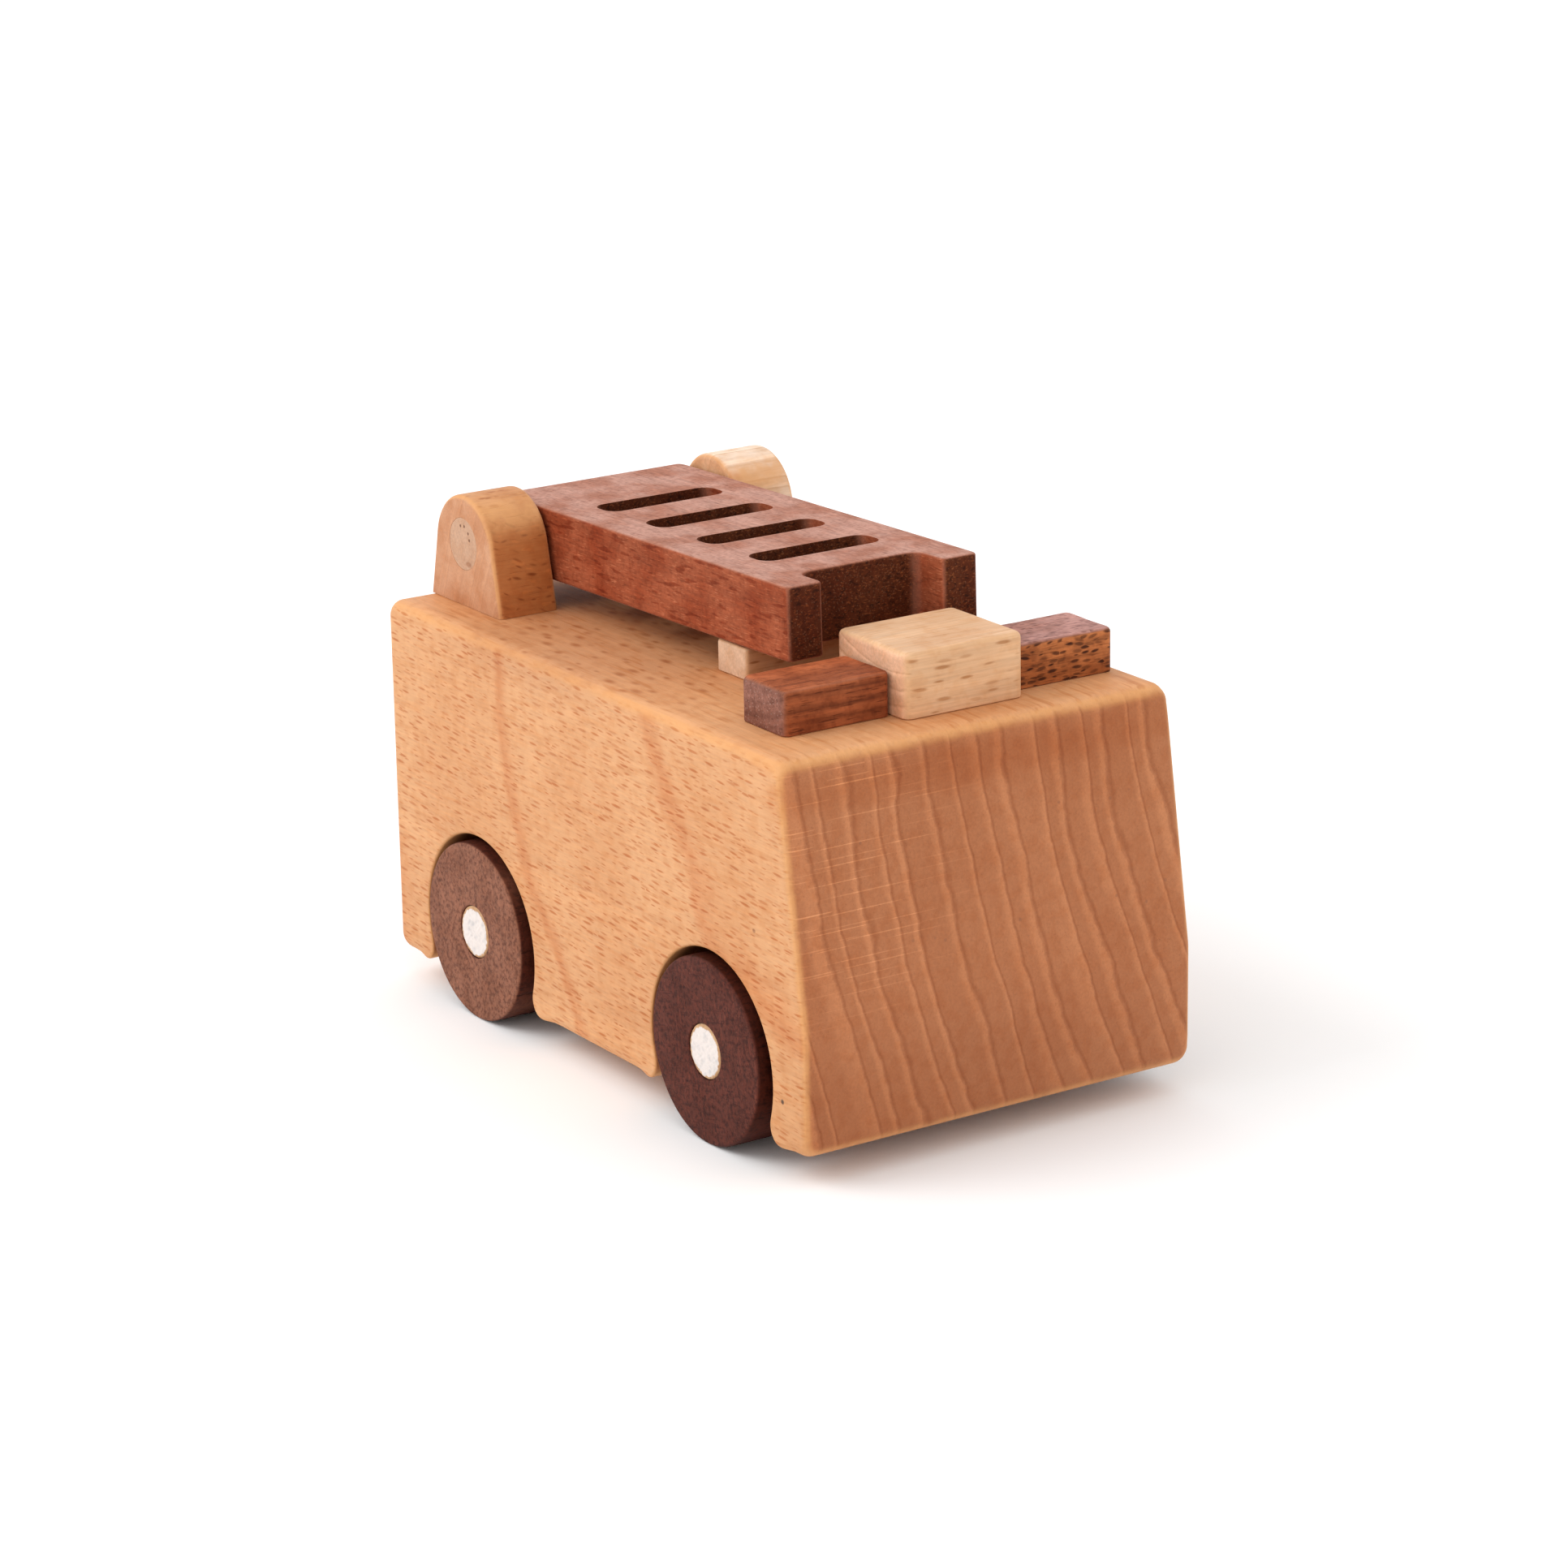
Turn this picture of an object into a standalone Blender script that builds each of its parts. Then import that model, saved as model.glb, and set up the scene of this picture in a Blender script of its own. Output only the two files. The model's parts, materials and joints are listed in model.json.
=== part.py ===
"""A wooden toy fire engine, in metres, with +X to the front, +Y to its left and +Z up.

The origin lies on the floor under the middle of the body block. The wheels stand on z = 0.
Run it in Blender's text editor, or with: blender --background --python part.py
"""

import math

import bmesh
import bpy
from mathutils import Matrix, Vector

# Body block
BODY_LENGTH = 0.1136
BODY_WIDTH = 0.0664
BODY_HEIGHT = 0.0556
GROUND_CLEARANCE = 0.0043
NOSE_SETBACK = 0.0058  # how far the nose leans back at the roof
NOSE_BREAK = 0.0182  # height above the underside where the nose starts to lean
BODY_EDGE = 0.0022

# Wheels and axles
WHEEL_RADIUS = 0.0137
WHEEL_THICKNESS = 0.0100
WHEEL_PROUD = 0.0010  # how far a wheel's face stands out of the body's side
WHEEL_EDGE = 0.0004
REAR_AXLE_FROM_TAIL = 0.0256
FRONT_AXLE_FROM_NOSE = 0.0240
AXLE_RADIUS = 0.0040
AXLE_EDGE = 0.0003
AXLE_RUNNING_GAP = 0.0004
POCKET_GAP = 0.0019  # how much larger the pocket's radius is than the wheel's
POCKET_DROP = 0.0008  # the round pocket is centred this far below the axle
POCKET_FLOOR_GAP = 0.0008  # room between a wheel's inner face and its pocket
POCKET_CORNER = 0.0030  # rounding where a pocket meets the underside

# Pillars and the ladder's pivot
ROOF_OFFSET = 0.0014  # the ladder and its pillars sit this far left of the centre line
PIVOT_RADIUS = 0.0040
PIVOT_HEIGHT = 0.0096  # above the roof
PIVOT_RUNNING_GAP = 0.0003
PILLAR_THICKNESS = 0.0102
PILLAR_FROM_SIDE = 0.0061  # from the body's side to a pillar, before the offset
PILLAR_FROM_TAIL = 0.0010
CROWN_WALL = 0.0041  # from the pivot hole to the crown, where they share a centre
CROWN_DROP = 0.0010  # the crown is centred this far below the pivot
FOOT_FLARE = 0.0020  # how much further than the crown the foot reaches at each end
PILLAR_EDGE = 0.0008

# Ladder
LADDER_SIDE_GAP = 0.0006
TAIL_GAP = 0.0006  # between the roof and the ladder's tail as it swings past
WOOD_OVER_BORE = 0.0007
WOOD_UNDER_BORE = 0.0016
LADDER_EDGE = 0.0006
RAIL_WIDTH = 0.0060  # wood beside the slots
SLOT_COUNT = 4
SLOT_WIDTH = 0.0058
SLOT_CORNER = 0.0022
FIRST_SLOT = 0.0127  # from the pivot to the first slot's middle
NOTCH_DEPTH = 0.0066

# Rest bar under the ladder
REST_WIDTH = 0.0078
REST_HEIGHT = 0.0044
REST_INSET = 0.0006  # from the ladder's side to the bar's end
REST_BEHIND_LIGHT = 0.0167  # from the bar's middle to the light bar
REST_EDGE = 0.0005

# Light bar
LIGHT_OFFSET = 0.0025  # the light bar sits this far left of the centre line
LIGHT_FROM_EDGE = 0.0064  # from the roof's front edge
LIGHT_FROM_SIDE = 0.0051  # from the body's side to the light bar's end, before the offset
LIGHT_GAP = 0.0006  # between the light bar and the ladder's front end as it swings past
CENTRE_LENGTH = 0.0172
CENTRE_WIDTH = 0.0202
CENTRE_HEIGHT = 0.0093
CENTRE_EDGE = 0.0009
SIDE_LENGTH = 0.0108
SIDE_HEIGHT = 0.0063
SIDE_EDGE = 0.0008

# Glue dowels
WIDE_DOWEL = 0.0030  # radius
THIN_DOWEL = 0.0020  # radius
DOWEL_DEPTH = 0.0100  # into the body block
WOOD_OVER_DOWEL = 0.0017

SEAM = 0.0003  # glued faces stand this far apart
PAST = 0.0020  # how far a cutter runs past the face that it opens
ROUND_SIDES = 48
DOWEL_SIDES = 24

# Sizes and places that follow from those above
ROOF = GROUND_CLEARANCE + BODY_HEIGHT
NOSE = BODY_LENGTH / 2
TAIL = -BODY_LENGTH / 2
SIDE = BODY_WIDTH / 2
WHEEL_FACE = SIDE + WHEEL_PROUD
REAR_AXLE_X = TAIL + REAR_AXLE_FROM_TAIL
FRONT_AXLE_X = NOSE - FRONT_AXLE_FROM_NOSE
CROWN_RADIUS = PIVOT_RADIUS + SEAM + CROWN_WALL
PILLAR_FOOT = 2 * (CROWN_RADIUS + FOOT_FLARE)
PILLAR_OUTER = SIDE - PILLAR_FROM_SIDE
PILLAR_INNER = PILLAR_OUTER - PILLAR_THICKNESS
PIVOT_X = TAIL + PILLAR_FROM_TAIL + PILLAR_FOOT / 2
PIVOT_Z = ROOF + PIVOT_HEIGHT
LIGHT_REAR = NOSE - NOSE_SETBACK - LIGHT_FROM_EDGE - CENTRE_LENGTH
LIGHT_X = LIGHT_REAR + CENTRE_LENGTH / 2
SIDE_BLOCK_WIDTH = SIDE - LIGHT_FROM_SIDE - CENTRE_WIDTH / 2 - SEAM
REST_X = LIGHT_REAR - REST_BEHIND_LIGHT
LADDER_HALF = PILLAR_INNER - LADDER_SIDE_GAP
LADDER_ABOVE = PIVOT_RADIUS + PIVOT_RUNNING_GAP + WOOD_OVER_BORE
LADDER_BELOW = PIVOT_RADIUS + PIVOT_RUNNING_GAP + WOOD_UNDER_BORE
LADDER_TAIL = PIVOT_HEIGHT - TAIL_GAP
LADDER_SWING = LIGHT_REAR - LIGHT_GAP - PIVOT_X  # radius that the lower front edge swings on
LADDER_REACH = math.sqrt(LADDER_SWING**2 - LADDER_BELOW**2)
SLOT_HALF = LADDER_HALF - RAIL_WIDTH
NOTCH_BACK = LADDER_REACH - NOTCH_DEPTH
SLOT_PITCH = (NOTCH_BACK + SLOT_WIDTH / 2 - FIRST_SLOT) / SLOT_COUNT


def clear_scene():
    for old in list(bpy.data.objects):
        bpy.data.objects.remove(old, do_unlink=True)


def wood(name, colour, roughness):
    """A plain wood finish."""
    material = bpy.data.materials.new(name)
    material.use_nodes = True
    shader = material.node_tree.nodes["Principled BSDF"]
    shader.inputs["Base Color"].default_value = (*colour, 1.0)
    shader.inputs["Roughness"].default_value = roughness
    shader.inputs["Metallic"].default_value = 0.0
    return material


def new_object(name, bm, material=None):
    """Turns a bmesh into an object with flat faces flat and round faces smooth."""
    bmesh.ops.recalc_face_normals(bm, faces=bm.faces)
    mesh = bpy.data.meshes.new(name)
    bm.to_mesh(mesh)
    bm.free()
    mesh.shade_smooth()
    mesh.set_sharp_from_angle(angle=math.radians(30))
    obj = bpy.data.objects.new(name, mesh)
    bpy.context.scene.collection.objects.link(obj)
    if material:
        mesh.materials.append(material)
    return obj


def arc(centre, radius, start, end, steps):
    """Points on an arc, with angles in degrees from the first axis towards the second."""
    angles = [math.radians(start + (end - start) * i / steps) for i in range(steps + 1)]
    return [(centre[0] + radius * math.cos(a), centre[1] + radius * math.sin(a)) for a in angles]


def extrude_outline(outline, axis, low, high):
    """A solid with an outline that lies across an axis: (x, z) for axis Y, and (x, y) for axis Z."""
    bm = bmesh.new()
    if axis == "Y":
        ring = [bm.verts.new((a, low, b)) for a, b in outline]
        step = Vector((0, high - low, 0))
    else:
        ring = [bm.verts.new((a, b, low)) for a, b in outline]
        step = Vector((0, 0, high - low))
    face = bm.faces.new(ring)
    far_side = bmesh.ops.extrude_face_region(bm, geom=[face])["geom"]
    moved = [part for part in far_side if isinstance(part, bmesh.types.BMVert)]
    bmesh.ops.translate(bm, vec=step, verts=moved)
    return bm


def box_between(low, high):
    """An axis-aligned box from its lowest to its highest corner."""
    bm = bmesh.new()
    size = [b - a for a, b in zip(low, high)]
    middle = [(a + b) / 2 for a, b in zip(low, high)]
    bmesh.ops.create_cube(bm, size=1.0, matrix=Matrix.Translation(middle) @ Matrix.Diagonal((*size, 1.0)))
    return bm


def rod(radius, length, axis, middle, sides):
    """A round rod centred on a point, along Y or Z. Along Y, one of its corners points straight down."""
    turn = Matrix.Rotation(math.radians(90), 4, "X") if axis == "Y" else Matrix.Identity(4)
    bm = bmesh.new()
    bmesh.ops.create_cone(
        bm,
        cap_ends=True,
        segments=sides,
        radius1=radius,
        radius2=radius,
        depth=length,
        matrix=Matrix.Translation(middle) @ turn,
    )
    return bm


def round_edges(obj, width, segments):
    bevel = obj.modifiers.new("edges", "BEVEL")
    bevel.width = width
    bevel.segments = segments
    bevel.limit_method = "ANGLE"
    bevel.angle_limit = math.radians(40)


def cut(obj, name, bm):
    """Cuts a shape out of an object. The shape stays in the file as a hidden wire."""
    cutter = new_object(f"{obj.name}_{name}", bm)
    cutter.hide_render = True
    cutter.display_type = "WIRE"
    cutter.parent = obj
    boolean = obj.modifiers.new(name, "BOOLEAN")
    boolean.operation = "DIFFERENCE"
    boolean.solver = "EXACT"
    boolean.object = cutter


def pocket_outline(axle_x):
    """A round pocket over the wheel, flared where it meets the underside of the body."""
    reach = WHEEL_RADIUS + POCKET_GAP
    centre_z = WHEEL_RADIUS - POCKET_DROP
    foot = GROUND_CLEARANCE + POCKET_CORNER
    aside = math.sqrt((reach + POCKET_CORNER) ** 2 - (centre_z - foot) ** 2)
    lean = math.degrees(math.atan2(centre_z - foot, aside))
    left = arc((axle_x - aside, foot), POCKET_CORNER, -90, lean, 5)
    right = arc((axle_x + aside, foot), POCKET_CORNER, 180 - lean, 270, 5)
    top = arc((axle_x, centre_z), reach, 180 + lean, -lean, 34)
    below = GROUND_CLEARANCE - PAST
    return [(left[0][0], below), *left, *top[1:-1], *right, (right[-1][0], below)]


def dowel_socket(obj, name, radius, x, y, low, high):
    """A round hole along Z for a glue dowel, a seam's width larger all round."""
    middle = (x, y, (low + high) / 2)
    cut(obj, name, rod(radius + SEAM, high - low, "Z", middle, DOWEL_SIDES))


def make_body(finish):
    outline = [
        (TAIL, GROUND_CLEARANCE),
        (NOSE, GROUND_CLEARANCE),
        (NOSE, GROUND_CLEARANCE + NOSE_BREAK),
        (NOSE - NOSE_SETBACK, ROOF),
        (TAIL, ROOF),
    ]
    body = new_object("body_block", extrude_outline(outline, "Y", -SIDE, SIDE), finish)
    round_edges(body, BODY_EDGE, 4)
    floor = SIDE - (WHEEL_THICKNESS - WHEEL_PROUD) - POCKET_FLOOR_GAP
    for end, axle_x in (("rear", REAR_AXLE_X), ("front", FRONT_AXLE_X)):
        outline = pocket_outline(axle_x)
        cut(body, f"{end}_left_pocket", extrude_outline(outline, "Y", floor, SIDE + PAST))
        cut(body, f"{end}_right_pocket", extrude_outline(outline, "Y", -SIDE - PAST, -floor))
        bore = rod(
            AXLE_RADIUS + AXLE_RUNNING_GAP,
            2 * (floor + PAST),
            "Y",
            (axle_x, 0, WHEEL_RADIUS),
            ROUND_SIDES,
        )
        cut(body, f"{end}_bore", bore)
    return body


def make_wheelset(end, axle_x, wheel_finish, axle_finish):
    """An axle with a wheel on each end. The axle's origin lies on the axis that it turns about."""
    place = (axle_x, 0, WHEEL_RADIUS)
    bm = rod(AXLE_RADIUS, 2 * WHEEL_FACE, "Y", (0, 0, 0), ROUND_SIDES)
    axle = new_object(f"{end}_axle", bm, axle_finish)
    axle.location = place
    round_edges(axle, AXLE_EDGE, 1)
    for side, sign in (("right", -1), ("left", 1)):
        middle = sign * (WHEEL_FACE - WHEEL_THICKNESS / 2)
        disc = rod(WHEEL_RADIUS, WHEEL_THICKNESS, "Y", (0, middle, 0), ROUND_SIDES)
        wheel = new_object(f"wheel_{end}_{side}", disc, wheel_finish)
        wheel.parent = axle
        round_edges(wheel, WHEEL_EDGE, 1)
        hole_length = WHEEL_THICKNESS + 2 * PAST
        cut(wheel, "hole", rod(AXLE_RADIUS + SEAM, hole_length, "Y", (0, middle, 0), ROUND_SIDES))


def pillar_outline():
    """A foot that tapers up to a round crown, in the XZ plane. It starts below the roof, to be trimmed."""
    crown = (PIVOT_X, PIVOT_Z - CROWN_DROP)
    foot_z = ROOF + SEAM
    half = PILLAR_FOOT / 2
    reach = math.hypot(half, crown[1] - foot_z)
    lean = math.atan2(crown[1] - foot_z, half)
    # The line from a foot corner touches the crown where the radius stands square to it.
    touch = math.degrees(math.acos(CROWN_RADIUS / reach) - lean)
    rear, front = crown[0] - half, crown[0] + half
    crown_points = arc(crown, CROWN_RADIUS, touch, 180 - touch, 20)
    return [(rear, foot_z - PAST), (front, foot_z - PAST), (front, foot_z), *crown_points, (rear, foot_z)]


def make_pillar(side, sign, finish, dowel_finish):
    inner = ROOF_OFFSET + sign * PILLAR_INNER
    outer = ROOF_OFFSET + sign * PILLAR_OUTER
    low, high = min(inner, outer), max(inner, outer)
    middle = (inner + outer) / 2
    pillar = new_object(f"pillar_{side}", extrude_outline(pillar_outline(), "Y", low, high), finish)
    round_edges(pillar, PILLAR_EDGE, 2)
    below_foot = box_between(
        (PIVOT_X - PILLAR_FOOT, low - PAST, ROOF - 2 * PAST),
        (PIVOT_X + PILLAR_FOOT, high + PAST, ROOF + SEAM),
    )
    cut(pillar, "foot_trim", below_foot)
    hole_length = PILLAR_THICKNESS + 2 * PAST
    hole_middle = (PIVOT_X, middle, PIVOT_Z)
    cut(pillar, "pivot_hole", rod(PIVOT_RADIUS + SEAM, hole_length, "Y", hole_middle, ROUND_SIDES))
    dowel_top = PIVOT_Z - PIVOT_RADIUS - SEAM - WOOD_OVER_DOWEL
    make_glue_dowel(pillar, f"pillar_dowel_{side}", WIDE_DOWEL, PIVOT_X, middle, dowel_top, dowel_finish)


def make_glue_dowel(block, name, radius, x, y, top, finish):
    """A dowel that stands in the body block and reaches up into a piece on the roof."""
    bottom = ROOF - DOWEL_DEPTH
    bm = rod(radius, top - bottom - SEAM, "Z", (x, y, (top + bottom - SEAM) / 2), DOWEL_SIDES)
    new_object(name, bm, finish)
    body = bpy.data.objects["body_block"]
    dowel_socket(body, name + "_socket", radius, x, y, bottom - SEAM, ROOF + PAST)
    dowel_socket(block, "dowel_socket", radius, x, y, ROOF - PAST, top)


def ladder_tilt():
    """The angle at which the ladder's underside just clears the rear edge of the rest bar's top."""
    along = REST_X - REST_WIDTH / 2 - PIVOT_X
    down = PIVOT_HEIGHT - SEAM - REST_HEIGHT - SEAM
    return math.asin(LADDER_BELOW / math.hypot(along, down)) - math.atan2(down, along)


def slot_outline(back, front, closed_front):
    """A long slot across the ladder with rounded corners. A notch has square corners, past the front end."""
    corner = SLOT_CORNER
    edge = SLOT_HALF - corner
    points = arc((back + corner, edge), corner, 90, 180, 5)
    points += arc((back + corner, -edge), corner, 180, 270, 5)
    if closed_front:
        points += arc((front - corner, -edge), corner, 270, 360, 5)
        points += arc((front - corner, edge), corner, 0, 90, 5)
    else:
        points += [(front, -SLOT_HALF), (front, SLOT_HALF)]
    return points


def make_ladder(finish):
    """A slotted board. Its origin lies on the pivot, and its tail is round about it."""
    below = math.degrees(math.asin(LADDER_BELOW / LADDER_TAIL))
    above = math.degrees(math.asin(LADDER_ABOVE / LADDER_TAIL))
    tail = arc((0, 0), LADDER_TAIL, 180 - above, 180 + below, 14)
    outline = [*tail, (LADDER_REACH, -LADDER_BELOW), (LADDER_REACH, LADDER_ABOVE)]
    ladder = new_object("ladder", extrude_outline(outline, "Y", -LADDER_HALF, LADDER_HALF), finish)
    ladder.location = (PIVOT_X, ROOF_OFFSET, PIVOT_Z)
    ladder.rotation_euler = (0, -ladder_tilt(), 0)
    round_edges(ladder, LADDER_EDGE, 2)
    through = (-LADDER_BELOW - PAST, LADDER_ABOVE + PAST)
    for number in range(SLOT_COUNT):
        back = FIRST_SLOT + number * SLOT_PITCH - SLOT_WIDTH / 2
        outline = slot_outline(back, back + SLOT_WIDTH, closed_front=True)
        cut(ladder, f"slot_{number + 1}", extrude_outline(outline, "Z", *through))
    outline = slot_outline(NOTCH_BACK, LADDER_REACH + PAST, closed_front=False)
    cut(ladder, "notch", extrude_outline(outline, "Z", *through))
    bore = rod(PIVOT_RADIUS + PIVOT_RUNNING_GAP, 2 * (LADDER_HALF + PAST), "Y", (0, 0, 0), ROUND_SIDES)
    cut(ladder, "bore", bore)


def make_roof_block(name, place, size, edge, dowel_radius, finish, dowel_finish):
    """A block glued to the roof with a dowel under its middle. Its place is (x, y), its size (x, y, z)."""
    x, y = place
    low = (x - size[0] / 2, y - size[1] / 2, ROOF + SEAM)
    high = (x + size[0] / 2, y + size[1] / 2, ROOF + SEAM + size[2])
    block = new_object(name, box_between(low, high), finish)
    round_edges(block, edge, 2)
    side = name.split("_")[-1]
    dowel = "ladder_rest_dowel" if side == "rest" else f"light_bar_dowel_{side}"
    make_glue_dowel(block, dowel, dowel_radius, x, y, high[2] - WOOD_OVER_DOWEL, dowel_finish)


def main():
    clear_scene()
    beech = wood("beech", (0.62, 0.36, 0.19), 0.55)
    pale_beech = wood("pale_beech", (0.72, 0.50, 0.31), 0.55)
    dowel_wood = wood("dowel_wood", (0.82, 0.76, 0.66), 0.60)
    dark_wood = wood("dark_wood", (0.25, 0.09, 0.05), 0.50)
    wheel_wood = wood("wheel_wood", (0.14, 0.07, 0.05), 0.55)

    make_body(beech)
    make_wheelset("rear", REAR_AXLE_X, wheel_wood, dowel_wood)
    make_wheelset("front", FRONT_AXLE_X, wheel_wood, dowel_wood)

    make_pillar("right", -1, beech, dowel_wood)
    make_pillar("left", 1, beech, dowel_wood)
    pivot = rod(PIVOT_RADIUS, 2 * PILLAR_OUTER, "Y", (PIVOT_X, ROOF_OFFSET, PIVOT_Z), ROUND_SIDES)
    new_object("ladder_pivot_dowel", pivot, dowel_wood)
    make_ladder(dark_wood)

    rest = (REST_WIDTH, 2 * (LADDER_HALF - REST_INSET), REST_HEIGHT)
    make_roof_block("ladder_rest", (REST_X, ROOF_OFFSET), rest, REST_EDGE, THIN_DOWEL, pale_beech, dowel_wood)

    centre = (CENTRE_LENGTH, CENTRE_WIDTH, CENTRE_HEIGHT)
    place = (LIGHT_X, LIGHT_OFFSET)
    make_roof_block("light_bar_centre", place, centre, CENTRE_EDGE, WIDE_DOWEL, pale_beech, dowel_wood)
    side_block = (SIDE_LENGTH, SIDE_BLOCK_WIDTH, SIDE_HEIGHT)
    step = CENTRE_WIDTH / 2 + SEAM + SIDE_BLOCK_WIDTH / 2
    for side, sign in (("right", -1), ("left", 1)):
        place = (LIGHT_X, LIGHT_OFFSET + sign * step)
        make_roof_block(f"light_bar_{side}", place, side_block, SIDE_EDGE, THIN_DOWEL, dark_wood, dowel_wood)


main()
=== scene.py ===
# A wooden toy fire engine: finished surfaces, woods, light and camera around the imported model.
# Lengths are in metres, and in mm in the looks of the woods. +X is the front, +Y the toy's left side, +Z up.
import json
import math
import bmesh
import bpy
import numpy as np
from mathutils import Matrix, Vector


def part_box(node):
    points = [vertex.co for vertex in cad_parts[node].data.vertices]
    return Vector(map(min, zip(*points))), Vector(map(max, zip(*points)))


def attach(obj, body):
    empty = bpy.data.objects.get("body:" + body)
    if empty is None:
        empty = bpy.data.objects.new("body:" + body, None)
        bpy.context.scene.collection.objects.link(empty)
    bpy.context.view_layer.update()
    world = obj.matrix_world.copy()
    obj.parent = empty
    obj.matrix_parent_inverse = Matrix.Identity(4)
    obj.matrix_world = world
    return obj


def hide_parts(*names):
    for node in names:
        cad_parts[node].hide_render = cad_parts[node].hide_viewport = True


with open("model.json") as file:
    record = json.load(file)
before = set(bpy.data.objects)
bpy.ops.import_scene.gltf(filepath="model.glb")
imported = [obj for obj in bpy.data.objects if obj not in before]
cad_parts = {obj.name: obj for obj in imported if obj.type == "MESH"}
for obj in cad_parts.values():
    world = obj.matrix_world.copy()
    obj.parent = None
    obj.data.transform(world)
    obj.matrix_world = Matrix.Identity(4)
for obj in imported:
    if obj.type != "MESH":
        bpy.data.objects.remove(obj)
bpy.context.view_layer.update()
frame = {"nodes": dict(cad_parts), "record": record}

mm = 0.001
hair = 0.05 * mm     # the line left where two glued pieces meet
runGap = 0.3 * mm    # the room round a pin or dowel in its hole
merge = 1e-7         # points closer than this are one point
axles = ("rear_axle", "front_axle")
glueDowels = ("pillar_dowel_right", "pillar_dowel_left", "ladder_rest_dowel",
              "light_bar_dowel_centre", "light_bar_dowel_right", "light_bar_dowel_left")


def smoothStep(x):
    # 3x^2 - 2x^3, held between 0 and 1
    x = np.clip(x, 0.0, 1.0)
    return x * x * (3.0 - 2.0 * x)


def ripple(t, seed, waves=5):
    # sines with 1, 2, 3, 5, 8 ... turns over t = 0 to 1, each lower than the last, about -1 to 1
    rng = np.random.default_rng(seed)
    turns = np.round(1.6 ** np.arange(waves)) + np.arange(waves)
    height = 0.75 ** np.arange(waves)
    phase = rng.uniform(0.0, 2.0 * math.pi, waves)
    return (np.sin(2.0 * math.pi * np.asarray(t)[..., None] * turns + phase) * height).sum(-1) / height.sum()


def roundedLoop(corners, radii, steps=8):
    # a closed polygon whose corner i becomes an arc of radius i: the arc's centre lies on the corner's
    # bisector, r / sin(half angle) away, and its points turn evenly between the two tangent points
    corners = np.asarray(corners, float)
    pieces = []
    for here, before, after, r in zip(corners, np.roll(corners, 1, 0), np.roll(corners, -1, 0), radii):
        u = (before - here) / np.linalg.norm(before - here)
        v = (after - here) / np.linalg.norm(after - here)
        half = 0.5 * math.acos(np.clip(u @ v, -1.0, 1.0))
        bisector = (u + v) / np.linalg.norm(u + v)
        centre = here + bisector * r / math.sin(half)
        start = here + u * r / math.tan(half) - centre
        end = here + v * r / math.tan(half) - centre
        turn = math.atan2(start[0] * end[1] - start[1] * end[0], start @ end)
        a = np.linspace(0.0, turn, steps + 1)
        x = centre[0] + start[0] * np.cos(a) - start[1] * np.sin(a)
        y = centre[1] + start[0] * np.sin(a) + start[1] * np.cos(a)
        pieces.append(np.stack([x, y], 1))
    return np.vstack(pieces)


def arc(centre, radius, fromDeg, toDeg, steps):
    # centre + radius (cos a, sin a), with a even from the first angle to the second
    a = np.radians(np.linspace(fromDeg, toDeg, steps + 1))
    return np.stack([centre[0] + radius * np.cos(a), centre[1] + radius * np.sin(a)], 1)


def fineLoop(loop, longest):
    # adds points along a closed loop so that no stretch is longer than the given length
    closed = np.vstack([loop, loop[:1]])
    gaps = np.linalg.norm(np.diff(closed, axis=0), axis=1)
    closed = closed[np.concatenate([gaps > merge, [True]])]
    along = np.concatenate([[0.0], np.cumsum(np.linalg.norm(np.diff(closed, axis=0), axis=1))])
    count = np.maximum(1, np.ceil(np.diff(along) / longest).astype(int))
    start = np.repeat(along[:-1], count)
    step = np.repeat(np.diff(along) / count, count)
    place = np.arange(count.sum()) - np.repeat(np.cumsum(count) - count, count)
    s = start + step * place
    return np.stack([np.interp(s, along, closed[:, 0]), np.interp(s, along, closed[:, 1])], 1)


def outward(loop):
    # unit normals of a closed loop that runs anticlockwise: the chord past each point, turned a quarter back
    chord = np.roll(loop, -1, 0) - np.roll(loop, 1, 0)
    chord /= np.linalg.norm(chord, axis=1)[:, None]
    return np.stack([chord[:, 1], -chord[:, 0]], 1)


def loopPlace(loop):
    # 0 to 1 along a closed loop, by length
    gaps = np.linalg.norm(np.roll(loop, -1, 0) - loop, axis=1)
    return np.concatenate([[0.0], np.cumsum(gaps)[:-1]]) / gaps.sum()


def roundedRows(loop, low, high, lowRound, highRound, steps=5, inwards=None, capGap=0.05 * mm):
    # an outline carried from low to high: at each end it draws in by r (1 - sin a) while it rises by
    # r (1 - cos a), a quarter round of radius r that may vary along the outline; a last row lies flat,
    # drawn in by r and the cap gap, where the flat end starts
    inwards = -outward(loop) if inwards is None else inwards
    lowRound = np.broadcast_to(lowRound, len(loop))
    highRound = np.broadcast_to(highRound, len(loop))
    a = np.linspace(0.0, math.pi / 2.0, steps + 1)
    rows = []
    for end, r, sign in ((low, lowRound, 1.0), (high, highRound, -1.0)):
        flat = loop + inwards * (r + capGap)[:, None]
        curve = loop[None] + inwards[None] * (r[None] * (1.0 - np.sin(a))[:, None])[..., None]
        height = end + sign * r[None] * (1.0 - np.cos(a))[:, None]
        rowsHere = np.concatenate([curve, height[..., None]], 2)
        cap = np.concatenate([flat, np.full((len(loop), 1), end)], 1)[None]
        both = np.concatenate([cap, rowsHere])
        rows.append(both if sign > 0 else both[::-1])
    return np.concatenate(rows)


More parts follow.
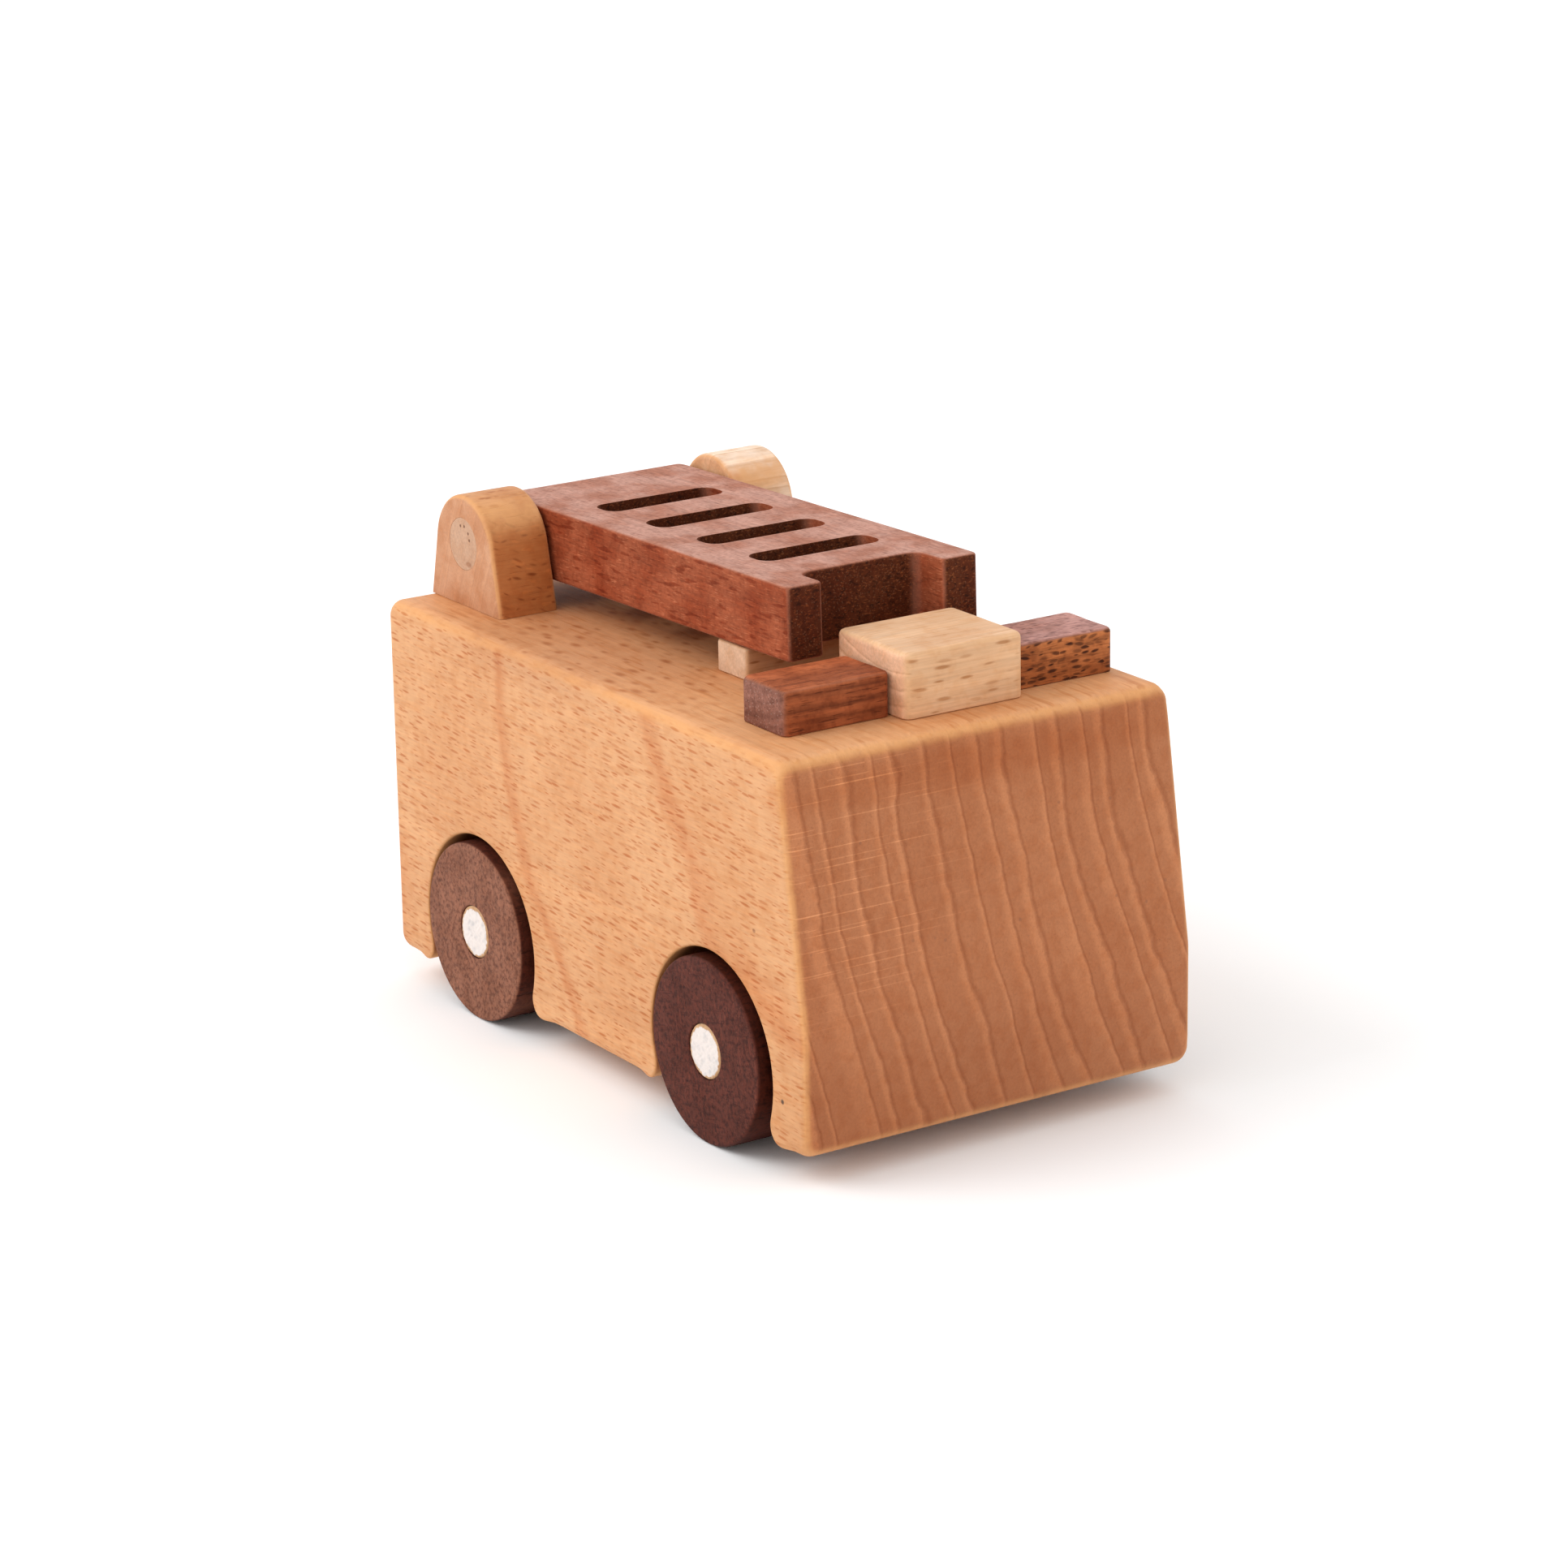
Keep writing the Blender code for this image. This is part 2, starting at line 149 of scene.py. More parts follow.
def gridFaces(rows, columns, closedRows=False):
    # quads between neighbours where point (i, j) has the number i * columns + j and columns close up
    i = np.arange(rows if closedRows else rows - 1)
    i, j = [a.ravel() for a in np.meshgrid(i, np.arange(columns), indexing="ij")]
    iNext = (i + 1) % rows
    jNext = (j + 1) % columns
    return np.stack([i * columns + j, i * columns + jNext, iNext * columns + jNext, iNext * columns + j], 1)


def meshPiece(name, points, faces, caps=()):
    # a new object from an array of points, an array of quads and any end caps, closed and smooth
    mesh = bpy.data.meshes.new(name)
    mesh.from_pydata(np.asarray(points, float).tolist(), [], faces.tolist() + [c.tolist() for c in caps])
    finishMesh(mesh)
    piece = bpy.data.objects.new(name, mesh)
    bpy.context.scene.collection.objects.link(piece)
    return piece


def finishMesh(mesh, sharpDeg=35.0):
    # merges doubles, turns the faces outwards and shades the round stretches smooth
    work = bmesh.new()
    work.from_mesh(mesh)
    bmesh.ops.remove_doubles(work, verts=work.verts, dist=merge)
    bmesh.ops.dissolve_degenerate(work, dist=merge, edges=work.edges)
    bmesh.ops.recalc_face_normals(work, faces=work.faces)
    work.to_mesh(mesh)
    work.free()
    mesh.shade_smooth()
    mesh.set_sharp_from_angle(angle=math.radians(sharpDeg))


def rowsPiece(name, rows, axis="Z"):
    # a closed piece from rows of (u, v, height): the height runs along Z, or along Y with u = x and v = z
    order = (0, 1, 2) if axis == "Z" else (0, 2, 1)
    count = rows.shape[1]
    last = (rows.shape[0] - 1) * count
    caps = [np.arange(count), last + np.arange(count)]
    return meshPiece(name, rows[..., order].reshape(-1, 3), gridFaces(rows.shape[0], count), caps)


def rod(name, centre, radius, low, high, axis, sides=64):
    # a round cutter along Y or Z: centre + radius (cos a, sin a), from low to high
    loop = arc(centre, radius, 0.0, 360.0 * (sides - 1) / sides, sides - 1)
    rows = np.stack([np.column_stack([loop, np.full(sides, h)]) for h in (low, high)])
    return rowsPiece(name, rows, axis)


def applyModifiers(piece):
    # the mesh as the modifiers leave it becomes the piece's own
    graph = bpy.context.evaluated_depsgraph_get()
    mesh = bpy.data.meshes.new_from_object(piece.evaluated_get(graph))
    piece.modifiers.clear()
    piece.data = mesh
    finishMesh(mesh)


def cutAway(piece, cutters):
    # takes each cutter out of the piece with an exact Boolean and removes the cutter
    for cutter in cutters:
        boolean = piece.modifiers.new(cutter.name, "BOOLEAN")
        boolean.operation = "DIFFERENCE"
        boolean.solver = "EXACT"
        boolean.object = cutter
    bpy.context.view_layer.update()
    applyModifiers(piece)
    for cutter in cutters:
        bpy.data.objects.remove(cutter)


def dowelHole(node):
    # a cutter that leaves the gap all round an upright glue dowel
    low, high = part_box(node)
    middle = (low + high) / 2.0
    radius = (high.x - low.x) / 2.0 + runGap
    return rod(node + "Hole", (middle.x, middle.y), radius, low.z - runGap, high.z + runGap, "Z", 32)


def turned(name, profile, centre, sides=160, push=None):
    # a (radius, y) profile turned about an axis along Y: x = r cos a, z = r sin a; a profile that closes
    # on itself makes a ring, any other gets its two ends capped; push(x, z, y) may move points along Y
    a = np.linspace(0.0, 2.0 * math.pi, sides, endpoint=False)
    x = profile[:, :1] * np.cos(a)
    z = profile[:, :1] * np.sin(a)
    y = profile[:, 1:] + 0.0 * x
    if push is not None:
        y = y + push(x, z, y)
    points = np.stack([x + centre[0], y, z + centre[1]], 2)
    if np.allclose(profile[0], profile[-1]):
        points = points[:-1]
        return meshPiece(name, points.reshape(-1, 3), gridFaces(len(points), sides, True))
    caps = [np.arange(sides), (len(points) - 1) * sides + np.arange(sides)]
    return meshPiece(name, points.reshape(-1, 3), gridFaces(len(points), sides), caps)


def addFacing(piece):
    # how squarely the surface faces along each axis, as an attribute for the materials
    mesh = piece.data
    normals = np.empty(len(mesh.loops) * 3, np.float32)
    mesh.corner_normals.foreach_get("vector", normals)
    normals = np.abs(normals.reshape(-1, 3))
    facing = mesh.attributes.new("facing", "FLOAT_VECTOR", "CORNER")
    facing.data.foreach_set("vector", normals.ravel())


def seat(piece, body, slotName, *nodes):
    # the piece rides on its body and stands for the CAD nodes; slotName is not used
    addFacing(piece)
    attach(piece, body)
    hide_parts(*nodes)
    return piece


bodyLook = {
    "noseBreak": 22.5 * mm,       # height where the front starts to lean back
    "noseLean": 5.8 * mm,         # how far it leans back at the roof
    "noseRound": 9.0 * mm,        # the soft bend where it starts
    "pocketHalf": 15.6 * mm,      # the wheel pocket's radius
    "pocketCentre": 12.9 * mm,    # and the height of its centre
    "pocketDepth": 9.8 * mm,
    "pocketCorner": 3.0 * mm,     # the flare where the pocket meets the underside
    "abovePockets": 30.0 * mm,    # a height that clears both pockets
    "boreRadius": 4.4 * mm,
    "profileRound": 2.6 * mm,     # corners of the side outline
    "longEdge": 2.2 * mm,         # edges between the sides and the rest
    "noseEdge": 1.5 * mm,
    "archEdge": 0.45 * mm,
    "archBlend": 5.0 * mm,        # how far from a pocket the edge grows back to full size
    "step": 2.0 * mm,             # longest stretch of the outline
    "shadeStart": 0.3 * mm,       # how far in from the side the pockets start to darken
    "shadeFootStart": 1.8 * mm,   # how much further in that is at their foot
    "shadeFoot": 12.0 * mm,       # the height below which the foot counts
    "shadeFootFade": 5.0 * mm,
    "shadeFade": 3.0 * mm,        # and over what depth they darken
    "wallRows": (2.4 * mm, 3.6 * mm, 5.5 * mm, 8.0 * mm),   # how deep the extra rows of the pocket walls lie
}


def axleX(node):
    # where an axle crosses the toy, along X
    low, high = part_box(node)
    return (low.x + high.x) / 2.0


def bodyOutlines():
    # the side outline (x, z) with both wheel arches, the same outline with a straight underside, and
    # the radius of the edge round at each point
    low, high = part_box("body_block")
    look = bodyLook
    axlePlaces = [axleX(node) for node in axles]
    half, corner = look["pocketHalf"], look["pocketCorner"]
    drop = look["pocketCentre"] - low.z - corner
    aside = math.sqrt((half + corner) ** 2 - drop ** 2)
    lean = math.degrees(math.atan2(drop, aside))
    bottom = []
    for axle in axlePlaces:
        left = arc((axle - aside, low.z + corner), corner, -90.0, lean, 9)
        crown = arc((axle, look["pocketCentre"]), half, 180.0 + lean, -lean, 48)
        right = arc((axle + aside, low.z + corner), corner, 180.0 - lean, 270.0, 9)
        bottom += [left, crown[1:-1], right]
    soft = look["profileRound"]
    rest = roundedLoop([(high.x, low.z), (high.x, look["noseBreak"]), (high.x - look["noseLean"], high.z),
                        (low.x, high.z), (low.x, low.z)], [soft, look["noseRound"], soft, soft, soft])
    loop = fineLoop(np.vstack(bottom + [rest]), look["step"])
    x, z = loop[:, 0], loop[:, 1]
    plain = loop.copy()
    beside = z < look["abovePockets"]
    away = np.full(len(loop), 1.0)
    for axle in axlePlaces:
        inArch = (np.abs(x - axle) <= aside + merge) & beside & (z > low.z + merge)
        place = np.flatnonzero(inArch)
        first, last = place[0] - 1, place[-1] + 1
        span = np.arange(first, last + 1)
        gaps = np.linalg.norm(np.diff(loop[span], axis=0), axis=1)
        share = np.concatenate([[0.0], np.cumsum(gaps)]) / gaps.sum()
        plain[span, 0] = loop[first, 0] + share * (loop[last, 0] - loop[first, 0])
        plain[span, 1] = low.z
        reach = np.abs(x - axle) - half
        away = np.minimum(away, np.where(beside, np.clip(reach / look["archBlend"], 0.0, 1.0), 1.0))
    noseStart = high.x - look["noseLean"] - mm
    isNose = smoothStep((x - noseStart) / (2.0 * mm)) * smoothStep((z - low.z) / (4.0 * mm))
    edge = look["longEdge"] + (look["noseEdge"] - look["longEdge"]) * isNose
    edge = look["archEdge"] + (edge - look["archEdge"]) * smoothStep(away)
    edge = edge * (1.0 - 0.10 * (1.0 + ripple(loopPlace(loop), 3)) / 2.0)
    return loop, plain, edge


def makeBody():
    # the side outline carried across the toy: arched as far in as the pockets go, straight between them;
    # then the axle bores and the glue dowels' sockets are cut out
    low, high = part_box("body_block")
    loop, plain, edge = bodyOutlines()
    rows = roundedRows(loop, low.y, high.y, edge, edge, steps=6)
    middle = len(rows) // 2
    floorY = high.y - bodyLook["pocketDepth"]
    arched = [np.column_stack([loop, np.full(len(loop), y)]) for y in (-floorY, floorY)]
    straight = [np.column_stack([plain, np.full(len(loop), y)]) for y in (-floorY, floorY)]
    wall = [high.y - step for step in bodyLook["wallRows"]]
    walls = [np.stack([np.column_stack([loop, np.full(len(loop), side * y)]) for y in order])
             for side, order in ((-1.0, wall), (1.0, wall[::-1]))]
    inside = [walls[0], arched[:1], straight, arched[1:], walls[1]]
    rows = np.concatenate([rows[:middle], *inside, rows[middle:]])
    piece = rowsPiece("bodyBlock", rows, "Y")
    cutters = []
    for node in axles:
        axleLow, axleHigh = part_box(node)
        centre = (axleLow + axleHigh) / 2.0
        spot = (centre.x, centre.z)
        cutters.append(rod(node + "Bore", spot, bodyLook["boreRadius"], -floorY - mm, floorY + mm, "Y"))
    cutters += [dowelHole(node) for node in glueDowels]
    cutAway(piece, cutters)
    addPocketShade(piece)
    return seat(piece, "engine_body", "beech", "body_block")


def addPocketShade(piece):
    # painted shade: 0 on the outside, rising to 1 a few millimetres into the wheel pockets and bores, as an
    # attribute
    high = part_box("body_block")[1]
    points = np.empty(len(piece.data.vertices) * 3, np.float32)
    piece.data.vertices.foreach_get("co", points)
    x, y, z = points.reshape(-1, 3).T
    look = bodyLook
    reach = look["pocketHalf"] + 0.2 * mm
    pocketShade = np.zeros(len(x), np.float32)
    for node in axles:
        inPocket = (np.abs(x - axleX(node)) < reach) & (z < look["pocketCentre"] + reach)
        low = smoothStep((look["shadeFoot"] - z) / look["shadeFootFade"])
        start = look["shadeStart"] + look["shadeFootStart"] * low
        depth = smoothStep((high.y - np.abs(y) - start) / look["shadeFade"])
        pocketShade = np.where(inPocket, np.maximum(pocketShade, depth), pocketShade)
    attribute = piece.data.attributes.new("pocketShade", "FLOAT", "POINT")
    attribute.data.foreach_set("value", pocketShade.astype(np.float32))


wheelLook = {
    "edgeRound": 0.45 * mm,   # the tread's two edges
    "holeEdge": 0.25 * mm,    # the edges of the axle hole
    "sides": 160,
}


def makeWheel(node, body, slotName):
    # a rounded rectangle in (radius, y) turned about the axle
    low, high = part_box(node)
    centre = (low + high) / 2.0
    axle = "rear_axle" if "rear" in node else "front_axle"
    axleLow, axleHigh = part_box(axle)
    hole = (axleHigh.x - axleLow.x) / 2.0 + hair
    outer = (high.x - low.x) / 2.0
    look = wheelLook
    profile = roundedLoop([(hole, low.y), (outer, low.y), (outer, high.y), (hole, high.y)],
                          [look["holeEdge"], look["edgeRound"], look["edgeRound"], look["holeEdge"]], 6)
    profile = np.vstack([profile, profile[:1]])
    piece = turned(node.replace("_", "-"), profile, (centre.x, centre.z), look["sides"])
    return seat(piece, body, slotName, node)


axleLook = {
    "chamfer": 0.35 * mm,
    "roughDepth": 0.10 * mm,   # how deep the sawn ends dip
    "sawAcross": 5200.0,       # the saw marks' turns, in radians per metre
    "sawAlong": 4700.0,
    "wanderAcross": 3100.0,    # how fast the marks wander
    "wanderAlong": 2300.0,
    "rings": 22,
    "sides": 96,
}


def dowelProfile(radius, low, high, edge, rings):
    # (radius, y) from near the axis out over one end, along the side and back in over the other end
    out = np.linspace(0.04, 1.0, rings) * (radius - edge)
    a = np.linspace(0.0, math.pi / 2.0, 5)[1:]
    corner = np.column_stack([radius - edge + edge * np.sin(a), low + edge * (1.0 - np.cos(a))])
    first = np.vstack([np.column_stack([out, np.full(rings, low)]), corner])
    second = first[::-1].copy()
    second[:, 1] = low + high - second[:, 1]
    return np.vstack([first, second])


def makeAxle(node, body):
    # the ends are sawn end grain: they sink by up to the rough depth, by crossed sines
    low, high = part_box(node)
    centre = (low + high) / 2.0
    radius = (high.x - low.x) / 2.0
    look = axleLook
    profile = dowelProfile(radius, low.y, high.y, look["chamfer"], look["rings"])

    def saw(x, z, y):
        across = np.sin(x * look["sawAcross"] + 1.3 * np.sin(z * look["wanderAcross"]))
        along = np.sin(z * look["sawAlong"] + np.sin(x * look["wanderAlong"]))
        near = (np.abs(np.abs(y) - high.y) < look["chamfer"]).astype(float)
        return -np.sign(y) * near * look["roughDepth"] * (0.5 + 0.5 * across * along)

    piece = turned(node.replace("_", "-"), profile, (centre.x, centre.z), look["sides"], saw)
    return seat(piece, body, "axle_wood", node)


pivotLook = {
    "chamfer": 0.07 * mm,
    "rings": 24,
    "sides": 96,
}


def makePivot():
    # the dowel's profile turned about the pivot; its ends are sanded flush with the pillars
    low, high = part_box("ladder_pivot_dowel")
    centre = (low + high) / 2.0
    radius = (high.x - low.x) / 2.0
    profile = dowelProfile(radius, low.y, high.y, pivotLook["chamfer"], pivotLook["rings"])
    piece = turned("pivotDowel", profile, (centre.x, centre.z), pivotLook["sides"])
    return seat(piece, "engine_body", "dowel_wood", "ladder_pivot_dowel")


pillarLook = {
    "crownRadius": 8.4 * mm,
    "edge": 0.85 * mm,
    "uneven": 0.12,          # how much the edge's round varies
    "holeGap": 0.02 * mm,    # the dowel is glued in and fills its hole almost to the rim
    "step": 0.7 * mm,        # longest stretch of the outline
    "faceRows": np.array([0.97, 0.6, 0.25, 0.0]),   # rows of a face, as shares of the way from hole to edge
}


def makePillar(node, name):
    # rows of one closed ring: the outline (crown arc, two straight flanks and a flat foot) and the pivot
    # hole are both read at even angles about the pivot, and the face between them is a straight blend
    low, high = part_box(node)
    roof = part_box("body_block")[1].z
    pivotLow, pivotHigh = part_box("ladder_pivot_dowel")
    pivot = (pivotLow + pivotHigh) / 2.0
    look = pillarLook
    hole = (pivotHigh.x - pivotLow.x) / 2.0 + look["holeGap"]
    foot = roof + hair
    middle = (low.x + high.x) / 2.0
    crownZ = high.z - look["crownRadius"]
    halfFoot = (high.x - low.x) / 2.0
    rise = crownZ - low.z
    away = math.hypot(halfFoot, rise)
    touch = math.degrees(math.acos(look["crownRadius"] / away) - math.atan2(rise, halfFoot))
    crown = arc((middle, crownZ), look["crownRadius"], touch, 180.0 - touch, 64)
    loop = fineLoop(np.vstack([[(high.x, foot)], crown, [(low.x, foot)]]), look["step"])
    n = outward(loop)
    bottom = loop[:, 1] < foot + merge
    share = (loop[:, 0] - middle) / halfFoot
    slope = 1.0 / abs(n[np.argmin(np.abs(loop[:, 1] - (foot + 3.0 * mm))), 0])
    inwards = -n
    inwards[bottom, 0] = -share[bottom] * slope
    inwards[bottom, 1] = 0.0
    a = np.arctan2(loop[:, 1] - pivot.z, loop[:, 0] - pivot.x)
    ring = np.stack([pivot.x + hole * np.cos(a), pivot.z + hole * np.sin(a)], 1)
    edge = look["edge"] * (1.0 + look["uneven"] * ripple(loopPlace(loop), 11 if "right" in node else 12))
    rows = roundedRows(loop, low.y, high.y, edge, edge, steps=5, inwards=inwards)
    first = rows[0, :, :2]
    lowFace, highFace = [[np.column_stack([ring + (first - ring) * k, np.full(len(loop), y)])
                          for k in look["faceRows"]] for y in (low.y, high.y)]
    allRows = np.concatenate([rows, highFace, lowFace[::-1]])
    points = allRows[..., (0, 2, 1)].reshape(-1, 3)
    piece = meshPiece(name, points, gridFaces(len(allRows), len(loop), True))
    cutAway(piece, [dowelHole(node.replace("pillar_", "pillar_dowel_"))])
    return seat(piece, "engine_body", "pink_beech", node)


# edge is the round of the top edges, ragged the share by which it varies
blockLook = {
    "light_bar_centre": dict(name="lightBlockCentre", edge=0.9 * mm, ragged=0.10, slot="pale_beech",
                             seed=21, dowel="light_bar_dowel_centre"),
    "light_bar_right": dict(name="lightBlockRight", edge=0.75 * mm, ragged=0.35, slot="dark_block_wood",
                            seed=22, dowel="light_bar_dowel_right"),
    "light_bar_left": dict(name="lightBlockLeft", edge=0.75 * mm, ragged=0.35, slot="dark_block_wood",
                           seed=23, dowel="light_bar_dowel_left"),
    "ladder_rest": dict(name="restBar", edge=0.5 * mm, ragged=0.2, slot="pale_beech",
                        seed=24, dowel="ladder_rest_dowel"),
}
blockShared = {
    "cornerShare": 1.45,       # the upright corners' radius over the top edge's
    "footEdge": 0.22 * mm,
    "step": 0.4 * mm,          # longest stretch of the outline
}


def makeBlock(node):
    # a rounded rectangle (x, y) carried up from the roof, with a larger round on top than at its foot
    look = blockLook[node]
    low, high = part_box(node)
    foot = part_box("body_block")[1].z + hair
    corner = look["edge"] * blockShared["cornerShare"]
    loop = roundedLoop([(low.x, low.y), (high.x, low.y), (high.x, high.y), (low.x, high.y)], [corner] * 4, 6)
    loop = fineLoop(loop, blockShared["step"])
    uneven = look["ragged"] * ripple(loopPlace(loop), look["seed"], 9)
    topEdge = look["edge"] * (1.0 + uneven)
    footUneven = 2.0 * look["ragged"] * ripple(loopPlace(loop), look["seed"] + 50, 9)
    footEdge = blockShared["footEdge"] * (1.0 + footUneven)
    piece = rowsPiece(look["name"], roundedRows(loop, foot, high.z, footEdge, topEdge, steps=5), "Z")
    cutAway(piece, [dowelHole(look["dowel"])])
    return seat(piece, "engine_body", look["slot"], node)


ladderLook = {
    "above": 5.0 * mm,         # the board above the pivot's middle
    "below": 5.9 * mm,         # and below it
    "tail": 9.0 * mm,          # radius of the rounded tail
    "restTilt": 1.4286,        # degrees by which the front end is raised at rest
    "slots": 4,
    "firstSlot": 12.7 * mm,    # from the pivot to the middle of the first slot
    "slotWidth": 5.8 * mm,     # along the board
    "slotHalf": 10.3 * mm,     # half a slot's length, across the board
    "slotCorner": 2.2 * mm,
    "notchBack": 65.36 * mm,   # from the pivot to the back of the end notch
    "corner": 0.8 * mm,        # the board's upright corners
    "edge": 0.42 * mm,
    "uneven": 0.25,            # how much the edge's round varies
    "slotEdge": 0.22 * mm,
    "step": 1.5 * mm,          # longest stretch of the outline
    "cutter": 8.0 * mm,        # half the height of the slot cutters
}


def ladderPlace():
    # pivot, tilt and length of the board, from the joint and the CAD node's box
    joint = [j for j in frame["record"]["behaviour"]["joints"] if j["name"] == "ladder_tilt"][0]
    pivot = Vector(joint["pos_m"])
    low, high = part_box("ladder")
    tilt = math.radians(ladderLook["restTilt"])
    reach = (high.x - pivot.x - math.sin(tilt) * ladderLook["below"]) / math.cos(tilt)
    return pivot, tilt, reach, (high.y - low.y) / 2.0


def makeLadder():
    # the board's outline (along, across) carried through its thickness; the tail follows a cylinder about
    # the pivot, along = -sqrt(R^2 - t^2); slots and bore are cut out and their edges eased
    look = ladderLook
    pivot, tilt, reach, half = ladderPlace()
    slotHalf, back, tight = look["slotHalf"], look["notchBack"], look["corner"]
    loop = roundedLoop([(-mm, -half), (reach, -half), (reach, -slotHalf), (back, -slotHalf),
                        (back, slotHalf), (reach, slotHalf), (reach, half), (-mm, half)],
                       [tight, tight, tight, look["slotCorner"], look["slotCorner"], tight, tight, tight], 6)
    loop = fineLoop(loop, look["step"])
    edge = look["edge"] * (1.0 + look["uneven"] * ripple(loopPlace(loop), 31, 11))
    rows = roundedRows(loop, -look["below"], look["above"], edge, edge, steps=4)
    middle = len(rows) // 2
    t = np.linspace(-look["below"] + tight, look["above"] - tight, 18)
    between = np.stack([np.column_stack([loop, np.full(len(loop), k)]) for k in t])
    rows = np.concatenate([rows[:middle], between, rows[middle:]])
    tailX = -np.sqrt(look["tail"] ** 2 - rows[..., 2] ** 2)
    onTail = np.clip((2.0 * mm - rows[..., 0]) / (3.0 * mm), 0.0, 1.0)
    rows[..., 0] += (tailX + mm) * onTail
    piece = rowsPiece("ladderBoard", rows, "Z")
    pitch = (back + look["slotWidth"] / 2.0 - look["firstSlot"]) / look["slots"]
    cutters = []
    for i in range(look["slots"]):
        centre = look["firstSlot"] + i * pitch
        w = look["slotWidth"] / 2.0
        slot = roundedLoop([(centre - w, -slotHalf), (centre + w, -slotHalf), (centre + w, slotHalf),
                            (centre - w, slotHalf)], [look["slotCorner"]] * 4, 6)
        ends = [np.column_stack([slot, np.full(len(slot), h)]) for h in (-look["cutter"], look["cutter"])]
        cutters.append(rowsPiece(f"slot{i + 1}", np.stack(ends), "Z"))
    dowelLow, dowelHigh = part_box("ladder_pivot_dowel")
    bore = (dowelHigh.x - dowelLow.x) / 2.0 + runGap
    cutters.append(rod("ladderBore", (0.0, 0.0), bore, -half - mm, half + mm, "Y"))
    cutAway(piece, cutters)
    bevel = piece.modifiers.new("easedSlots", "BEVEL")
    bevel.width = look["slotEdge"]
    bevel.segments = 1
    bevel.limit_method = "ANGLE"
    bevel.angle_limit = math.radians(60.0)
    applyModifiers(piece)
    piece.data.transform(Matrix.Translation(pivot) @ Matrix.Rotation(-tilt, 4, "Y"))
    return seat(piece, "ladder", "ladder_wood", "ladder")


def feed(tree, socket, value):
    # a link where the value is another node's output, otherwise the value itself
    if isinstance(value, bpy.types.NodeSocket):
        tree.links.new(value, socket)
    else:
        socket.default_value = value


def put(tree, kind, sockets=None, **settings):
    # one node with its settings and what its sockets take
    node = tree.nodes.new("ShaderNode" + kind)
    node.location = (180.0 * (len(tree.nodes) % 12), -220.0 * (len(tree.nodes) // 12))
    for key, value in settings.items():
        setattr(node, key, value)
    for key, value in (sockets or {}).items():
        feed(tree, node.inputs[key], value)
    return node


def calc(tree, operation, a, b=0.0, c=0.0):
    # one step of arithmetic on plain values
    return put(tree, "Math", {0: a, 1: b, 2: c}, operation=operation).outputs[0]


def vectorCalc(tree, operation, a, b=(0.0, 0.0, 0.0)):
    # one step of arithmetic on vectors; lengths and distances come out as plain values
    second = "Scale" if operation == "SCALE" else 1
    node = put(tree, "VectorMath", {0: a, second: b}, operation=operation)
    return node.outputs["Value" if operation in ("LENGTH", "DISTANCE") else "Vector"]


def ease(tree, value, low, high, toLow=0.0, toHigh=1.0):
    # a smooth step from toLow at low to toHigh at high
    node = put(tree, "MapRange", {"Value": value, "From Min": low, "From Max": high, "To Min": toLow,
                                  "To Max": toHigh}, interpolation_type="SMOOTHSTEP")
    return node.outputs["Result"]


def noise(tree, vector, scale, detail=2.0, roughness=0.5):
    # soft noise about 0.5, in three dimensions
    node = put(tree, "TexNoise", {"Vector": vector, "Scale": scale, "Detail": detail,
                                  "Roughness": roughness})
    return node.outputs["Fac"]


def blendColour(tree, factor, a, b, blend="MIX"):
    # colour a, as far as the factor says towards colour b
    return put(tree, "Mix", {0: factor, 6: a, 7: b}, data_type="RGBA", blend_type=blend).outputs[2]


def newGroup(name, inputs, outputs):
    # an empty node group; inputs are (name, kind, default), outputs (name, kind)
    tree = bpy.data.node_groups.new(name, "ShaderNodeTree")
    for label, kind, default in inputs:
        socket = tree.interface.new_socket(name=label, in_out="INPUT", socket_type="NodeSocket" + kind)
        if default is not None:
            socket.default_value = default
    for label, kind in outputs:
        tree.interface.new_socket(name=label, in_out="OUTPUT", socket_type="NodeSocket" + kind)
    return tree, tree.nodes.new("NodeGroupInput").outputs, tree.nodes.new("NodeGroupOutput").inputs


def useGroup(tree, group, sockets):
    # a shared effect placed in a material with its own values
    return put(tree, "Group", sockets, node_tree=group).outputs


